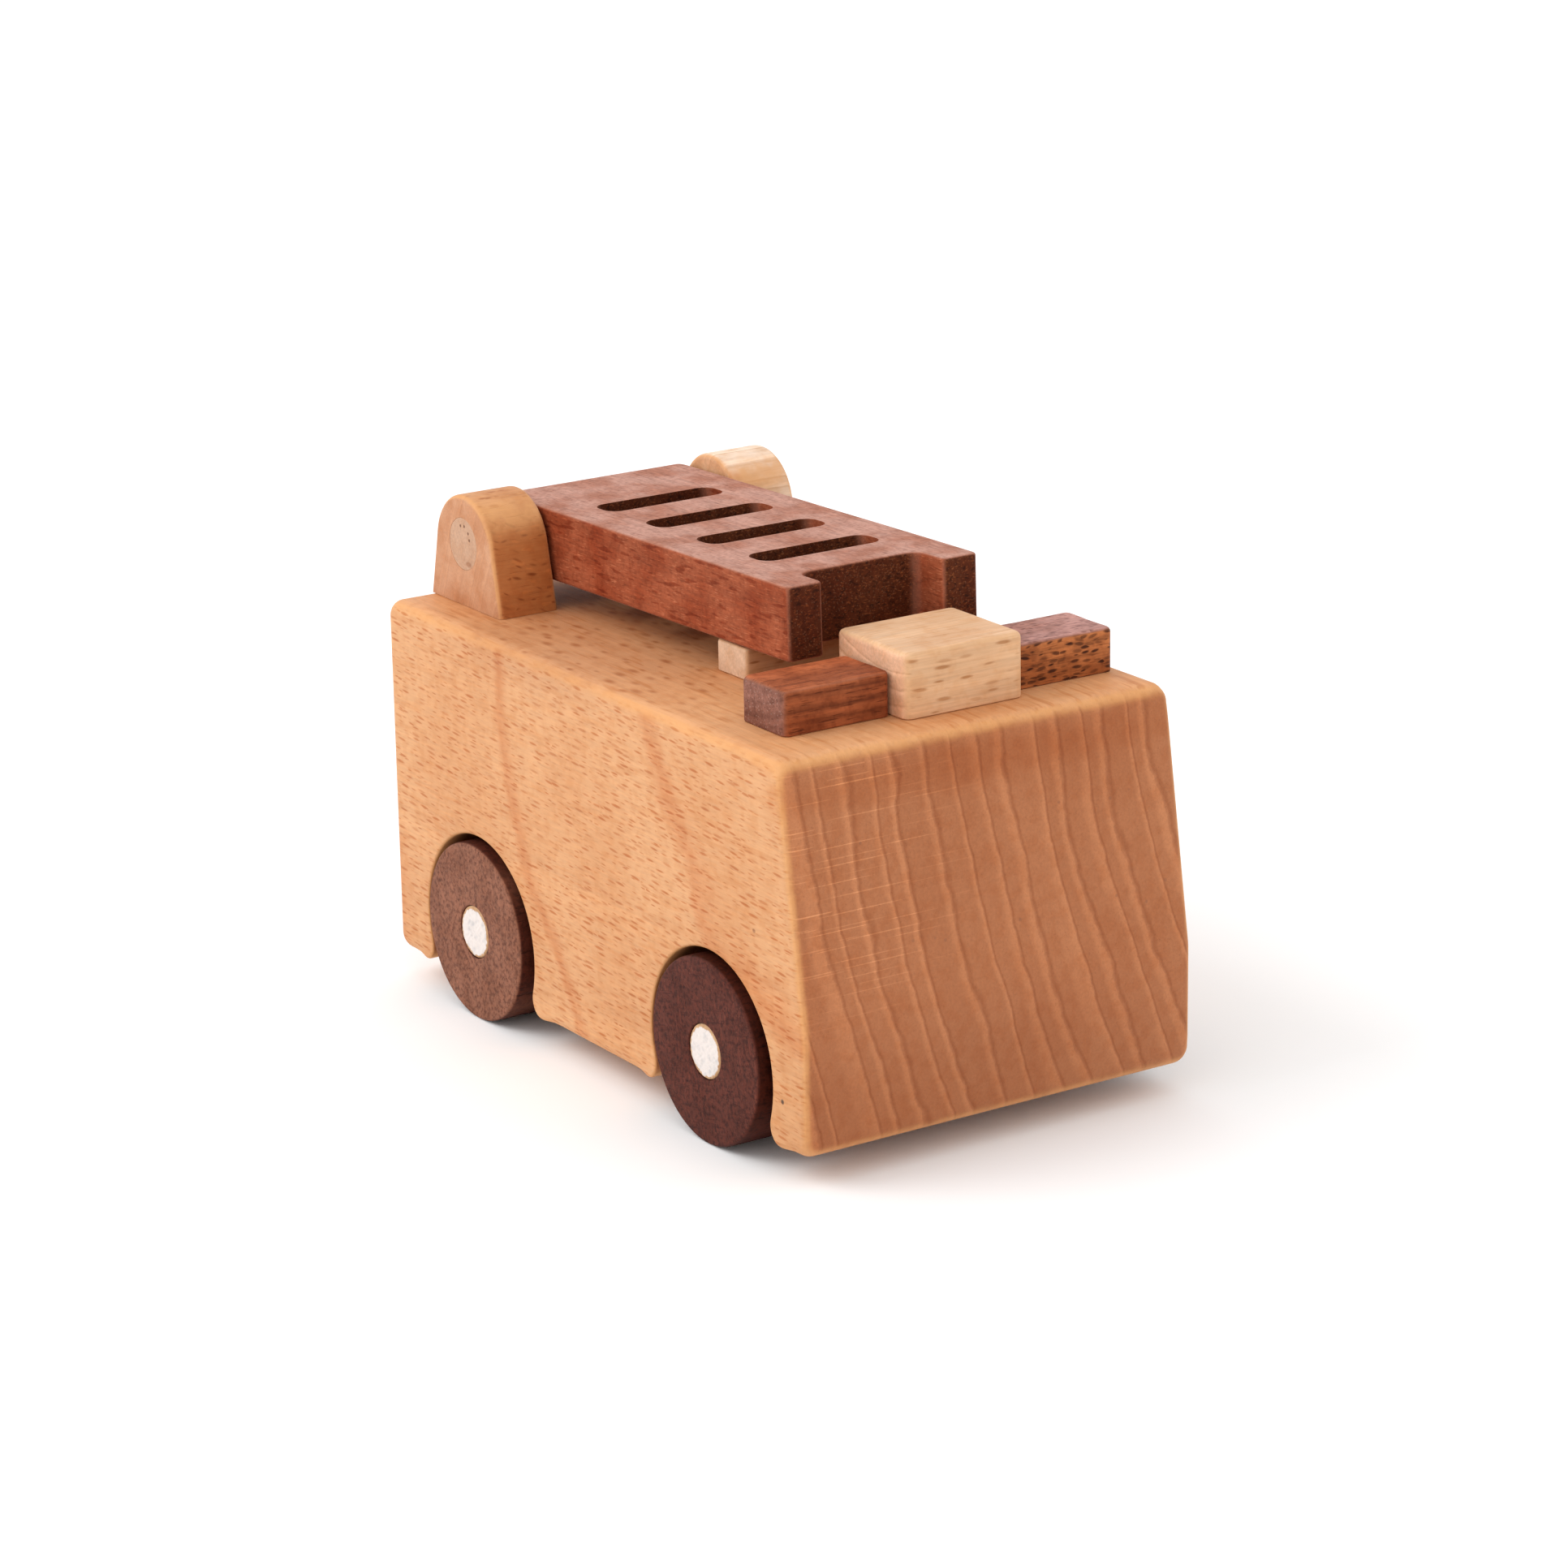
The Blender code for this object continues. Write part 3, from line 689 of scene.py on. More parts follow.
def growthRingsGroup():
    # rings about an axis along X at a height and side given in mm: distance / spacing, wavered by noise;
    # Line is the thin dark end of each year's growth, Pale the light start after it, Year a tone per ring
    inputs = [("Vector", "Vector", None), ("Heart", "Vector", (0.0, 150.0, 60.0)), ("Spacing", "Float", 4.0),
              ("Waver", "Float", 0.5), ("Line Width", "Float", 0.1), ("Pale End", "Float", 0.75)]
    tree, given, out = newGroup("growthRings", inputs,
                                [("Line", "Float"), ("Pale", "Float"), ("Year", "Float")])
    across = vectorCalc(tree, "MULTIPLY", given["Vector"], (0.0, 1.0, 1.0))
    distance = vectorCalc(tree, "DISTANCE", across, given["Heart"])
    slow = noise(tree, vectorCalc(tree, "MULTIPLY", given["Vector"], (0.012, 0.06, 0.06)), 1.0, 1.0)
    fine = noise(tree, vectorCalc(tree, "MULTIPLY", given["Vector"], (0.05, 0.45, 0.45)), 1.0, 2.0)
    turns = calc(tree, "DIVIDE", distance, given["Spacing"])
    uneven = put(tree, "TexNoise", {"W": calc(tree, "MULTIPLY", turns, 0.6), "Scale": 1.0, "Detail": 1.0},
                 noise_dimensions="1D").outputs["Fac"]
    shift = calc(tree, "MULTIPLY", given["Waver"], calc(tree, "SUBTRACT", slow, 0.5))
    smallWaver = calc(tree, "MULTIPLY", given["Waver"], 0.25)
    shift = calc(tree, "MULTIPLY_ADD", calc(tree, "SUBTRACT", fine, 0.5), smallWaver, shift)
    turns = calc(tree, "ADD", turns, calc(tree, "MULTIPLY_ADD", uneven, 1.5, shift))
    part = calc(tree, "FRACT", turns)
    lineStart = calc(tree, "SUBTRACT", 1.0, calc(tree, "MULTIPLY", given["Line Width"], 2.5))
    nearEnd = ease(tree, part, lineStart, 0.985)
    fall = ease(tree, part, 0.0, given["Line Width"], 1.0, 0.0)
    tree.links.new(calc(tree, "MAXIMUM", nearEnd, calc(tree, "MULTIPLY", fall, 0.8)), out["Line"])
    paleRise = ease(tree, part, given["Line Width"], calc(tree, "MULTIPLY", given["Line Width"], 2.0))
    paleFall = ease(tree, part, calc(tree, "MULTIPLY", given["Pale End"], 0.3), given["Pale End"], 1.0, 0.0)
    tree.links.new(calc(tree, "MULTIPLY", paleRise, paleFall), out["Pale"])
    year = put(tree, "TexWhiteNoise", {"W": calc(tree, "FLOOR", turns)}, noise_dimensions="1D")
    tree.links.new(year.outputs["Value"], out["Year"])
    return tree


def rayFlecksGroup():
    # the wood's rays: one flat ellipsoid in each Voronoi cell, its half sizes and the cell's size in mm,
    # tipped a little at random; cut by a side it is a short dash, on a flat of the ray a blotch
    inputs = [("Vector", "Vector", None), ("Cell", "Vector", (5.5, 12.0, 1.6)),
              ("Fleck", "Vector", (1.4, 5.0, 0.25)), ("Lean", "Float", 0.0), ("Tip", "Float", 0.3),
              ("Softness", "Float", 0.5)]
    tree, given, out = newGroup("rayFlecks", inputs, [("Fleck", "Float"), ("Tone", "Float")])
    cells = vectorCalc(tree, "DIVIDE", given["Vector"], given["Cell"])
    voronoi = put(tree, "TexVoronoi", {"Vector": cells, "Scale": 1.0, "Randomness": 0.85}, feature="F1")
    offset = vectorCalc(tree, "SUBTRACT", cells, voronoi.outputs["Position"])
    offset = vectorCalc(tree, "MULTIPLY", offset, given["Cell"])
    parts = put(tree, "SeparateXYZ", {0: offset}).outputs
    chance = put(tree, "SeparateXYZ", {0: voronoi.outputs["Color"]}).outputs
    tip = calc(tree, "MULTIPLY_ADD", calc(tree, "SUBTRACT", chance[0], 0.5), given["Tip"], given["Lean"])
    z = calc(tree, "MULTIPLY_ADD", parts[0], tip, parts[2])
    tipped = put(tree, "CombineXYZ", {0: parts[0], 1: parts[1], 2: z}).outputs[0]
    size = vectorCalc(tree, "SCALE", given["Fleck"], calc(tree, "MULTIPLY_ADD", chance[1], 0.7, 0.55))
    reach = vectorCalc(tree, "LENGTH", vectorCalc(tree, "DIVIDE", tipped, size))
    fleck = ease(tree, reach, calc(tree, "SUBTRACT", 1.0, given["Softness"]), 1.1, 1.0, 0.0)
    tree.links.new(fleck, out["Fleck"])
    tree.links.new(chance[2], out["Tone"])
    return tree


def fibresGroup():
    # long thin streaks along X: noise squeezed by the fibre's length and width in mm; Pore keeps the peaks
    tree, given, out = newGroup("fibres", [("Vector", "Vector", None), ("Length", "Float", 3.0),
                                           ("Width", "Float", 0.15), ("Pore Share", "Float", 0.35)],
                                [("Fibre", "Float"), ("Pore", "Float")])
    size = put(tree, "CombineXYZ", {0: given["Length"], 1: given["Width"], 2: given["Width"]}).outputs[0]
    squeezed = vectorCalc(tree, "DIVIDE", given["Vector"], size)
    fibre = noise(tree, squeezed, 0.5, 3.0, 0.6)
    dots = noise(tree, squeezed, 0.9, 1.0, 0.5)
    tree.links.new(fibre, out["Fibre"])
    high = calc(tree, "SUBTRACT", 0.78, calc(tree, "MULTIPLY", given["Pore Share"], 0.4))
    tree.links.new(ease(tree, dots, high, calc(tree, "ADD", high, 0.10)), out["Pore"])
    return tree


def edgeTouchGroup():
    # Edge is 1 where the surface is turned away from every axis, as on rounded edges, broken up by noise
    tree, given, out = newGroup("edgeTouch", [("Vector", "Vector", None), ("Amount", "Float", 1.0)],
                                [("Edge", "Float")])
    facing = put(tree, "Attribute", attribute_name="facing").outputs["Vector"]
    parts = put(tree, "SeparateXYZ", {0: facing}).outputs
    most = calc(tree, "MAXIMUM", calc(tree, "MAXIMUM", parts[0], parts[1]), parts[2])
    turnedAway = ease(tree, most, 0.99, 0.80)
    broken = ease(tree, noise(tree, given["Vector"], 0.35, 3.0, 0.6), 0.25, 0.6, 0.45, 1.0)
    touched = calc(tree, "MULTIPLY", turnedAway, broken)
    tree.links.new(calc(tree, "MULTIPLY", touched, given["Amount"]), out["Edge"])
    return tree


def specksGroup():
    # round specks, one in each Voronoi cell: Speck is 1 within the speck's share of the cell, and only
    # the stated share of the cells holds one
    tree, given, out = newGroup("specks", [("Vector", "Vector", None), ("Cell Size", "Float", 0.8),
                                           ("Speck Size", "Float", 0.3), ("Share", "Float", 0.6)],
                                [("Speck", "Float")])
    cells = vectorCalc(tree, "SCALE", given["Vector"], calc(tree, "DIVIDE", 1.0, given["Cell Size"]))
    voronoi = put(tree, "TexVoronoi", {"Vector": cells, "Scale": 1.0, "Randomness": 1.0}, feature="F1")
    inside = ease(tree, voronoi.outputs["Distance"], calc(tree, "MULTIPLY", given["Speck Size"], 0.5),
                  given["Speck Size"], 1.0, 0.0)
    chance = put(tree, "SeparateXYZ", {0: voronoi.outputs["Color"]}).outputs[0]
    chosen = calc(tree, "LESS_THAN", chance, given["Share"])
    tree.links.new(calc(tree, "MULTIPLY", inside, chosen), out["Speck"])
    return tree


def rimMaskGroup():
    # Inside is 1 nearer to an axis along Y than the radius, with an edge made ragged by noise, in mm
    tree, given, out = newGroup("rimMask", [("Vector", "Vector", None), ("Radius", "Float", 3.6),
                                            ("Ragged", "Float", 0.5)], [("Inside", "Float")])
    flat = vectorCalc(tree, "MULTIPLY", given["Vector"], (1.0, 0.0, 1.0))
    wander = calc(tree, "SUBTRACT", noise(tree, given["Vector"], 1.1, 3.0, 0.6), 0.5)
    distance = calc(tree, "MULTIPLY_ADD", wander, given["Ragged"], vectorCalc(tree, "LENGTH", flat))
    tree.links.new(ease(tree, distance, given["Radius"], calc(tree, "ADD", given["Radius"], 0.2), 1.0, 0.0),
                   out["Inside"])
    return tree


groups = {
    "rings": growthRingsGroup(),
    "rays": rayFlecksGroup(),
    "fibres": fibresGroup(),
    "edge": edgeTouchGroup(),
    "specks": specksGroup(),
    "rim": rimMaskGroup(),
}


def inMm(tree, centreMm=(0.0, 0.0, 0.0), turnDeg=(0.0, 0.0, 0.0)):
    # object coordinates in mm from a centre given in mm, turned about it by degrees
    coordinates = put(tree, "TexCoord").outputs["Object"]
    shift = tuple(-c * mm for c in centreMm)
    turn = tuple(math.radians(t) for t in turnDeg)
    moved = put(tree, "Mapping", {"Vector": coordinates, "Location": shift}).outputs[0]
    return put(tree, "Mapping", {"Vector": moved, "Rotation": turn, "Scale": (1.0 / mm,) * 3}).outputs[0]


def tinted(tree, share, colour, tint):
    # the colour multiplied by a tint, as far as the share says
    return blendColour(tree, share, colour, blendColour(tree, 1.0, colour, (*tint, 1.0), "MULTIPLY"))


def drawFlecks(tree, colour, place, axes, kinds):
    # ray flecks, each kind on the faces that look along its axis; also gives the flecks' summed share
    total = 0.0
    for kind in kinds:
        rays = useGroup(tree, groups["rays"], {"Vector": place, "Cell": kind["cell"], "Fleck": kind["size"],
                                               "Lean": kind.get("lean", 0.0), "Tip": kind.get("tip", 0.3),
                                               "Softness": kind.get("soft", 0.5)})
        share = calc(tree, "MULTIPLY", rays["Fleck"], ease(tree, rays["Tone"], 0.0, 1.0, 0.45, 1.0))
        share = calc(tree, "MULTIPLY", share, ease(tree, axes[kind["axis"]], 0.5, 0.9, 0.0, kind["share"]))
        if "within" in kind:
            away = vectorCalc(tree, "LENGTH", inMm(tree, kind["within"]["centre"]))
            share = calc(tree, "MULTIPLY", share,
                         ease(tree, away, kind["within"]["full"], kind["within"]["none"], 1.0, 0.0))
        colour = tinted(tree, share, colour, kind["tint"])
        total = calc(tree, "ADD", share, total)
    return colour, total


def drawThreads(tree, colour, axes, kinds):
    # fine lines along X after a turn, each kind on the faces that look along its axis
    for kind in kinds:
        threads = useGroup(tree, groups["fibres"], {"Vector": inMm(tree, kind["centre"], kind["turn"]),
                                                    "Length": kind["length"], "Width": kind["width"],
                                                    "Pore Share": kind["density"]})["Pore"]
        share = calc(tree, "MULTIPLY", threads, ease(tree, axes[kind["axis"]], 0.5, 0.9, 0.0, kind["share"]))
        colour = tinted(tree, share, colour, kind["tint"])
    return colour


def drawTones(tree, look, place, axes):
    # a tone for each way the surface faces, under broad blotches and a close mottle; also gives the mottle
    colour = blendColour(tree, ease(tree, axes[0], 0.5, 0.9), (*look["toneY"], 1.0), (*look["toneX"], 1.0))
    colour = blendColour(tree, ease(tree, axes[2], 0.5, 0.9), colour, (*look["toneZ"], 1.0))
    broad = noise(tree, place, 1.0 / look["blotchMm"], 3.0, 0.55)
    share = calc(tree, "MULTIPLY", ease(tree, broad, 0.38, 0.66), look["blotch"])
    colour = tinted(tree, share, colour, look["blotchTint"])
    close = noise(tree, place, 1.0 / look["mottleMm"], 2.0, 0.6)
    share = calc(tree, "MULTIPLY", ease(tree, close, 0.42, 0.68), look["mottle"])
    return tinted(tree, share, colour, look["mottleTint"]), close


def drawRings(tree, colour, look, place, end):
    # growth rings: a tone per year, the dark line at its end and the pale start after it; also gives the
    # line and how strongly it shows
    rings = useGroup(tree, groups["rings"], {"Vector": place, "Heart": look["heart"],
                                             "Spacing": look["spacing"], "Waver": look["waver"],
                                             "Line Width": look["lineWidth"], "Pale End": look["paleEnd"]})
    share = ease(tree, end, 0.0, 1.0, look["ringsOnFace"], look["ringsOnEnd"])
    year = calc(tree, "MULTIPLY", calc(tree, "MULTIPLY", rings["Year"], 0.45), share)
    colour = tinted(tree, year, colour, look["ringTint"])
    colour = tinted(tree, calc(tree, "MULTIPLY", rings["Line"], share), colour, look["ringTint"])
    colour = tinted(tree, calc(tree, "MULTIPLY", rings["Pale"], share), colour, look["paleTint"])
    return colour, rings["Line"], share


def drawFigure(tree, colour, figure, axes):
    # a few broad bands on the sides: widely spaced rings about an axis of their own
    bands = useGroup(tree, groups["rings"], {"Vector": inMm(tree, figure["centre"], figure["turn"]),
                                             "Heart": (0.0, 0.0, 0.0), "Spacing": figure["spacing"],
                                             "Waver": figure["waver"], "Line Width": figure["width"]})
    share = calc(tree, "MULTIPLY", bands["Line"], ease(tree, axes[1], 0.5, 0.9, 0.0, figure["share"]))
    return tinted(tree, share, colour, figure["tint"])


def makeWood(name, look):
    # one wood: tones, growth rings, a broad figure, ray flecks, fibres, pores, threads, specks, touched
    # edges, marks and a painted shadow, paint and painted shade in the hollows, each with its own strength;
    # fibres, pores, rings and flecks make the bump, and fibres and pores vary the roughness
    material = bpy.data.materials.new(name)
    material.use_nodes = True
    tree = material.node_tree
    shader = tree.nodes["Principled BSDF"]
    place = inMm(tree, turnDeg=look["turn"])
    facing = put(tree, "Attribute", attribute_name="facing").outputs["Vector"]
    axes = put(tree, "SeparateXYZ", {0: facing}).outputs
    end = ease(tree, axes["XYZ".index(look["grainAxis"])], 0.55, 0.92)

    colour, close = drawTones(tree, look, place, axes)
    colour, ringLine, ringShare = drawRings(tree, colour, look, place, end)
    colour = drawFigure(tree, colour, look["figure"], axes)
    colour, fleckShare = drawFlecks(tree, colour, place, axes, look["flecks"])

    fibres = useGroup(tree, groups["fibres"], {"Vector": place, "Length": look["fibreLength"],
                                               "Width": look["fibreWidth"], "Pore Share": look["poreShare"]})
    streak = calc(tree, "SUBTRACT", fibres["Fibre"], 0.5)
    value = calc(tree, "MULTIPLY_ADD", streak, look["streak"], 1.0)
    grey = put(tree, "CombineColor", {0: value, 1: value, 2: value}).outputs[0]
    colour = blendColour(tree, 1.0, colour, grey, "MULTIPLY")
    poreShare = calc(tree, "MULTIPLY", fibres["Pore"],
                     ease(tree, end, 0.0, 1.0, look["poresOnFace"], look["poresOnEnd"]))
    colour = tinted(tree, poreShare, colour, look["poreTint"])
    colour = drawThreads(tree, colour, axes, look["threads"])

    specks = useGroup(tree, groups["specks"], {"Vector": place, "Cell Size": look["speckCell"],
                                               "Speck Size": look["speckSize"], "Share": look["speckShare"]})
    speckShare = calc(tree, "MULTIPLY", specks["Speck"],
                      ease(tree, end, 0.0, 1.0, look["specksOnFace"], look["specksOnEnd"]))
    colour = blendColour(tree, speckShare, colour, (*look["speckTone"], 1.0))

    edge = useGroup(tree, groups["edge"], {"Vector": place, "Amount": look["edge"]})["Edge"]
    colour = blendColour(tree, edge, colour, (*look["edgeTone"], 1.0))
    # soft tinted spots: real marks, and on the beech roof a painted shadow under the ladder
    for tintedSpot in look["marksAndShade"]:
        reach = vectorCalc(tree, "LENGTH", vectorCalc(tree, "DIVIDE", inMm(tree, tintedSpot["at"]), tintedSpot["size"]))
        colour = tinted(tree, ease(tree, reach, 0.4, 1.0, tintedSpot["share"], 0.0), colour, tintedSpot["tint"])
    if "paint" in look:
        paint = look["paint"]
        rim = useGroup(tree, groups["rim"], {"Vector": inMm(tree, paint["centre"]),
                                             "Radius": paint["radius"], "Ragged": paint["ragged"]})
        inside = calc(tree, "MULTIPLY", rim["Inside"], ease(tree, axes[1], 0.6, 0.9))
        patchy = tinted(tree, ease(tree, close, 0.45, 0.75), (*paint["tone"], 1.0), paint["patch"])
        colour = blendColour(tree, inside, colour, patchy)
    # painted shade: the wood is darkened into the wheel pockets and bores, where little light reaches
    deep = put(tree, "Attribute", attribute_name="pocketShade").outputs["Fac"]
    colour = tinted(tree, deep, colour, look["pocketShadeTint"])

    height = calc(tree, "MULTIPLY_ADD", fibres["Pore"], -0.6, calc(tree, "MULTIPLY", fibres["Fibre"], 0.5))
    height = calc(tree, "MULTIPLY_ADD", ringLine, calc(tree, "MULTIPLY", ringShare, -0.25), height)
    height = calc(tree, "MULTIPLY_ADD", fleckShare, -0.05, height)
    bump = put(tree, "Bump", {"Strength": look["bump"], "Distance": 0.08 * mm, "Height": height})
    rough = calc(tree, "MULTIPLY_ADD", streak, 0.25, look["rough"])
    rough = calc(tree, "MULTIPLY_ADD", poreShare, 0.15, rough)
    tree.links.new(colour, shader.inputs["Base Color"])
    tree.links.new(rough, shader.inputs["Roughness"])
    tree.links.new(bump.outputs["Normal"], shader.inputs["Normal"])
    shader.inputs["Specular IOR Level"].default_value = look["specular"]
    return material


# A wood's look. toneX, toneY and toneZ colour the faces that look along each axis, and a tint multiplies
# what lies under it. Sizes, spacings and places are in mm, turns in degrees, and shares run from 0 to 1. An
# axis of 0, 1 or 2 means the faces that look along X, Y or Z. The turn lays the pattern's X along the grain,
# grainAxis is the axis whose faces show end grain, and the heart is a point in the middle of the rings.
beechLook = {
    "grainAxis": "X", "turn": (0.0, 0.0, 0.0),
    "toneX": (0.435, 0.160, 0.066), "toneY": (0.66, 0.345, 0.165), "toneZ": (0.69, 0.345, 0.16),
    "blotchMm": 22.0, "blotch": 0.6, "blotchTint": (0.90, 0.80, 0.70),
    "mottleMm": 2.2, "mottle": 0.55, "mottleTint": (0.91, 0.80, 0.68),
    "heart": (0.0, 150.0, 62.0), "spacing": 4.4, "waver": 0.8, "lineWidth": 0.05, "paleEnd": 0.42,
    "ringsOnFace": 0.16, "ringsOnEnd": 0.75, "ringTint": (0.78, 0.68, 0.60), "paleTint": (1.30, 1.38, 1.42),
    "figure": {"centre": (62.0, -33.0, 66.0), "turn": (0.0, 0.0, 90.0), "spacing": 41.0, "waver": 0.35,
               "width": 0.075, "share": 0.8, "tint": (0.88, 0.70, 0.58)},
    "flecks": (
        {"axis": 1, "share": 1.0, "cell": (2.9, 30.0, 0.95), "size": (1.25, 30.0, 0.21), "lean": 0.045,
         "tip": 0.10, "soft": 0.55, "tint": (0.75, 0.51, 0.35)},
        {"axis": 2, "share": 1.0, "cell": (4.6, 2.9, 8.0), "size": (1.5, 0.75, 6.0), "lean": 0.0,
         "soft": 0.85, "tint": (0.66, 0.47, 0.33), "within": {"centre": (-6.0, -8.0, 55.0), "full": 20.0,
                                                               "none": 50.0}},
        {"axis": 0, "share": 1.0, "cell": (30.0, 15.0, 1.3), "size": (30.0, 9.0, 0.11), "lean": 0.0,
         "tip": 0.0, "soft": 0.6, "tint": (1.45, 1.60, 1.70), "within": {"centre": (52.0, -26.0, 45.0),
                                                                         "full": 10.0, "none": 28.0}},
    ),
    "threads": (
        {"axis": 2, "centre": (3.0, 5.0, 50.0), "turn": (0.0, 0.0, 0.0), "length": 9.0, "width": 0.9,
         "density": 0.5, "share": 0.8, "tint": (0.86, 0.74, 0.60)},
        {"axis": 1, "centre": (3.0, 5.0, 50.0), "turn": (0.0, 2.5, 0.0), "length": 12.0, "width": 1.1,
         "density": 0.5, "share": 0.6, "tint": (0.93, 0.84, 0.74)},
    ),
    "fibreLength": 2.6, "fibreWidth": 0.2, "poreShare": 0.35, "streak": 0.40,
    "poresOnFace": 0.2, "poresOnEnd": 0.35, "poreTint": (0.78, 0.66, 0.54),
    "speckCell": 2.4, "speckSize": 0.14, "speckShare": 0.15, "specksOnFace": 0.0, "specksOnEnd": 0.4,
    "speckTone": (0.22, 0.09, 0.05),
    "edge": 0.55, "edgeTone": (0.74, 0.35, 0.125), "bump": 0.6, "rough": 0.56, "specular": 0.2,
    # painted shade: the tint that darkens the wheel pockets and bores
    "pocketShadeTint": (0.34, 0.20, 0.13),
    "marksAndShade": (
        {"at": (-56.6, -33.0, 41.3), "size": (0.9, 2.0, 0.7), "tint": (0.25, 0.25, 0.35), "share": 0.9},
        {"at": (51.0, -33.2, 11.6), "size": (0.5, 1.0, 0.5), "tint": (0.2, 0.22, 0.3), "share": 1.0},
        {"at": (44.6, -33.2, 34.6), "size": (0.5, 1.0, 0.4), "tint": (0.5, 0.45, 0.45), "share": 0.8},
        # painted shadow: the roof darkened broadly under and around the ladder, where the ladder shades it
        {"at": (-16.0, -8.0, 60.0), "size": (40.0, 46.0, 8.0), "tint": (0.84, 0.79, 0.78), "share": 1.0},
        {"at": (50.0, 0.0, 54.5), "size": (4.6, 60.0, 4.6), "tint": (0.90, 0.78, 0.66), "share": 0.9},
        {"at": (56.0, -10.0, 2.0), "size": (14.0, 60.0, 26.0), "tint": (0.91, 0.90, 0.90), "share": 1.0},
    ),
}

pillarWood = dict(
    beechLook, grainAxis="Y", turn=(0.0, 0.0, 90.0), toneX=(0.46, 0.158, 0.046), toneY=(0.56, 0.285, 0.158),
    toneZ=(0.62, 0.30, 0.135), heart=(0.0, 95.0, 10.0), spacing=2.6, ringsOnEnd=0.22, ringsOnFace=0.15,
    blotchMm=5.0, blotch=0.8, blotchTint=(0.86, 0.74, 0.62), marksAndShade=(), edge=0.7, edgeTone=(0.70, 0.34, 0.13),
    flecks=({"axis": 0, "share": 1.0, "cell": (3.0, 9.0, 1.5), "size": (0.95, 9.0, 0.30), "lean": -0.15,
             "tip": 0.9, "soft": 0.7, "tint": (0.52, 0.38, 0.28)},
            {"axis": 2, "share": 0.9, "cell": (2.9, 1.7, 8.0), "size": (0.9, 0.33, 8.0), "soft": 0.7,
             "tint": (0.62, 0.46, 0.34)}),
    threads=({"axis": 0, "centre": (1.0, 5.0, 50.0), "turn": (0.0, 0.0, 90.0), "length": 2.2, "width": 0.8,
              "density": 0.5, "share": 0.6, "tint": (1.25, 1.22, 1.15)},),
)
farPillarWood = dict(
    pillarWood, toneX=(0.76, 0.56, 0.41), toneY=(0.70, 0.40, 0.22), toneZ=(0.83, 0.64, 0.50),
    ringsOnFace=0.6,
    marksAndShade=({"at": (-38.6, 18.6, 75.6), "size": (2.4, 2.4, 3.0), "tint": (0.80, 0.55, 0.34), "share": 0.7},
           {"at": (-38.6, 18.6, 75.6), "size": (1.5, 1.5, 3.0), "tint": (1.2, 1.5, 1.8), "share": 0.7}),
    flecks=({"axis": 2, "share": 0.5, "cell": (4.0, 2.4, 8.0), "size": (1.1, 0.22, 8.0), "soft": 0.6,
             "tint": (0.80, 0.66, 0.50)},),
)
paleWood = dict(
    beechLook, grainAxis="Y", turn=(0.0, 0.0, 90.0), toneX=(0.72, 0.44, 0.25), toneY=(0.76, 0.45, 0.285),
    toneZ=(0.72, 0.45, 0.27), heart=(0.0, 40.0, 95.0), spacing=3.0, ringsOnEnd=0.5, ringsOnFace=0.15,
    blotchMm=12.0, blotch=0.4, fibreLength=6.0, fibreWidth=0.22, streak=0.55, edge=0.4,
    edgeTone=(0.74, 0.44, 0.22), marksAndShade=(),
    flecks=({"axis": 0, "share": 1.0, "cell": (5.2, 12.0, 2.1), "size": (1.35, 12.0, 0.30), "lean": 0.0,
             "tip": 0.15, "soft": 0.6, "tint": (0.64, 0.49, 0.35)},
            {"axis": 2, "share": 0.5, "cell": (7.0, 1.9, 8.0), "size": (2.9, 0.2, 8.0), "soft": 0.7,
             "tint": (0.80, 0.68, 0.53)}),
    threads=({"axis": 2, "centre": (1.0, 5.0, 50.0), "turn": (0.0, 0.0, 90.0), "length": 7.0, "width": 0.7,
              "density": 0.5, "share": 0.6, "tint": (0.90, 0.80, 0.68)},),
)
restWood = dict(paleWood, toneY=(0.68, 0.46, 0.315), toneX=(0.60, 0.36, 0.20), spacing=4.0, ringsOnEnd=0.2)
dowelWood = dict(
    paleWood, toneX=(0.60, 0.36, 0.22), toneY=(0.52, 0.315, 0.205), toneZ=(0.60, 0.36, 0.22),
    ringsOnEnd=0.08, edge=0.1, mottle=0.5, flecks=(), threads=(),
    marksAndShade=tuple({"at": (x, -25.7, z), "size": (0.33, 0.6, 0.33), "tint": (0.25, 0.15, 0.1), "share": 0.9}
                for x, z in ((-46.0, 72.2), (-44.9, 72.3), (-43.8, 71.4), (-43.5, 70.4)))
    + ({"at": (-43.9, -25.7, 66.6), "size": (1.1, 0.8, 0.6), "tint": (0.6, 0.42, 0.3), "share": 0.7},),
)
darkWood = dict(
    beechLook, toneX=(0.38, 0.104, 0.037), toneY=(0.30, 0.132, 0.097), toneZ=(0.53, 0.148, 0.055),
    grainAxis="Y", turn=(0.0, 0.0, 90.0), blotchMm=7.0, blotch=0.7, blotchTint=(0.62, 0.50, 0.42),
    mottleMm=1.1, mottle=0.6, mottleTint=(0.62, 0.55, 0.52), heart=(0.0, 30.0, 90.0), spacing=1.9, waver=1.2,
    lineWidth=0.2, paleEnd=0.75, ringsOnFace=0.6, ringsOnEnd=0.3, ringTint=(0.42, 0.34, 0.30),
    paleTint=(1.15, 1.1, 1.05), fibreLength=3.2, fibreWidth=0.22, streak=1.1, poreShare=0.42,
    poresOnFace=0.8, poresOnEnd=0.6, poreTint=(0.38, 0.32, 0.30), speckCell=0.5, speckSize=0.3,
    speckShare=0.5, specksOnFace=0.0, specksOnEnd=0.30, speckTone=(0.50, 0.34, 0.28), edge=0.35,
    edgeTone=(0.34, 0.12, 0.06), rough=0.62, specular=0.12, marksAndShade=(), flecks=(), threads=(),
)
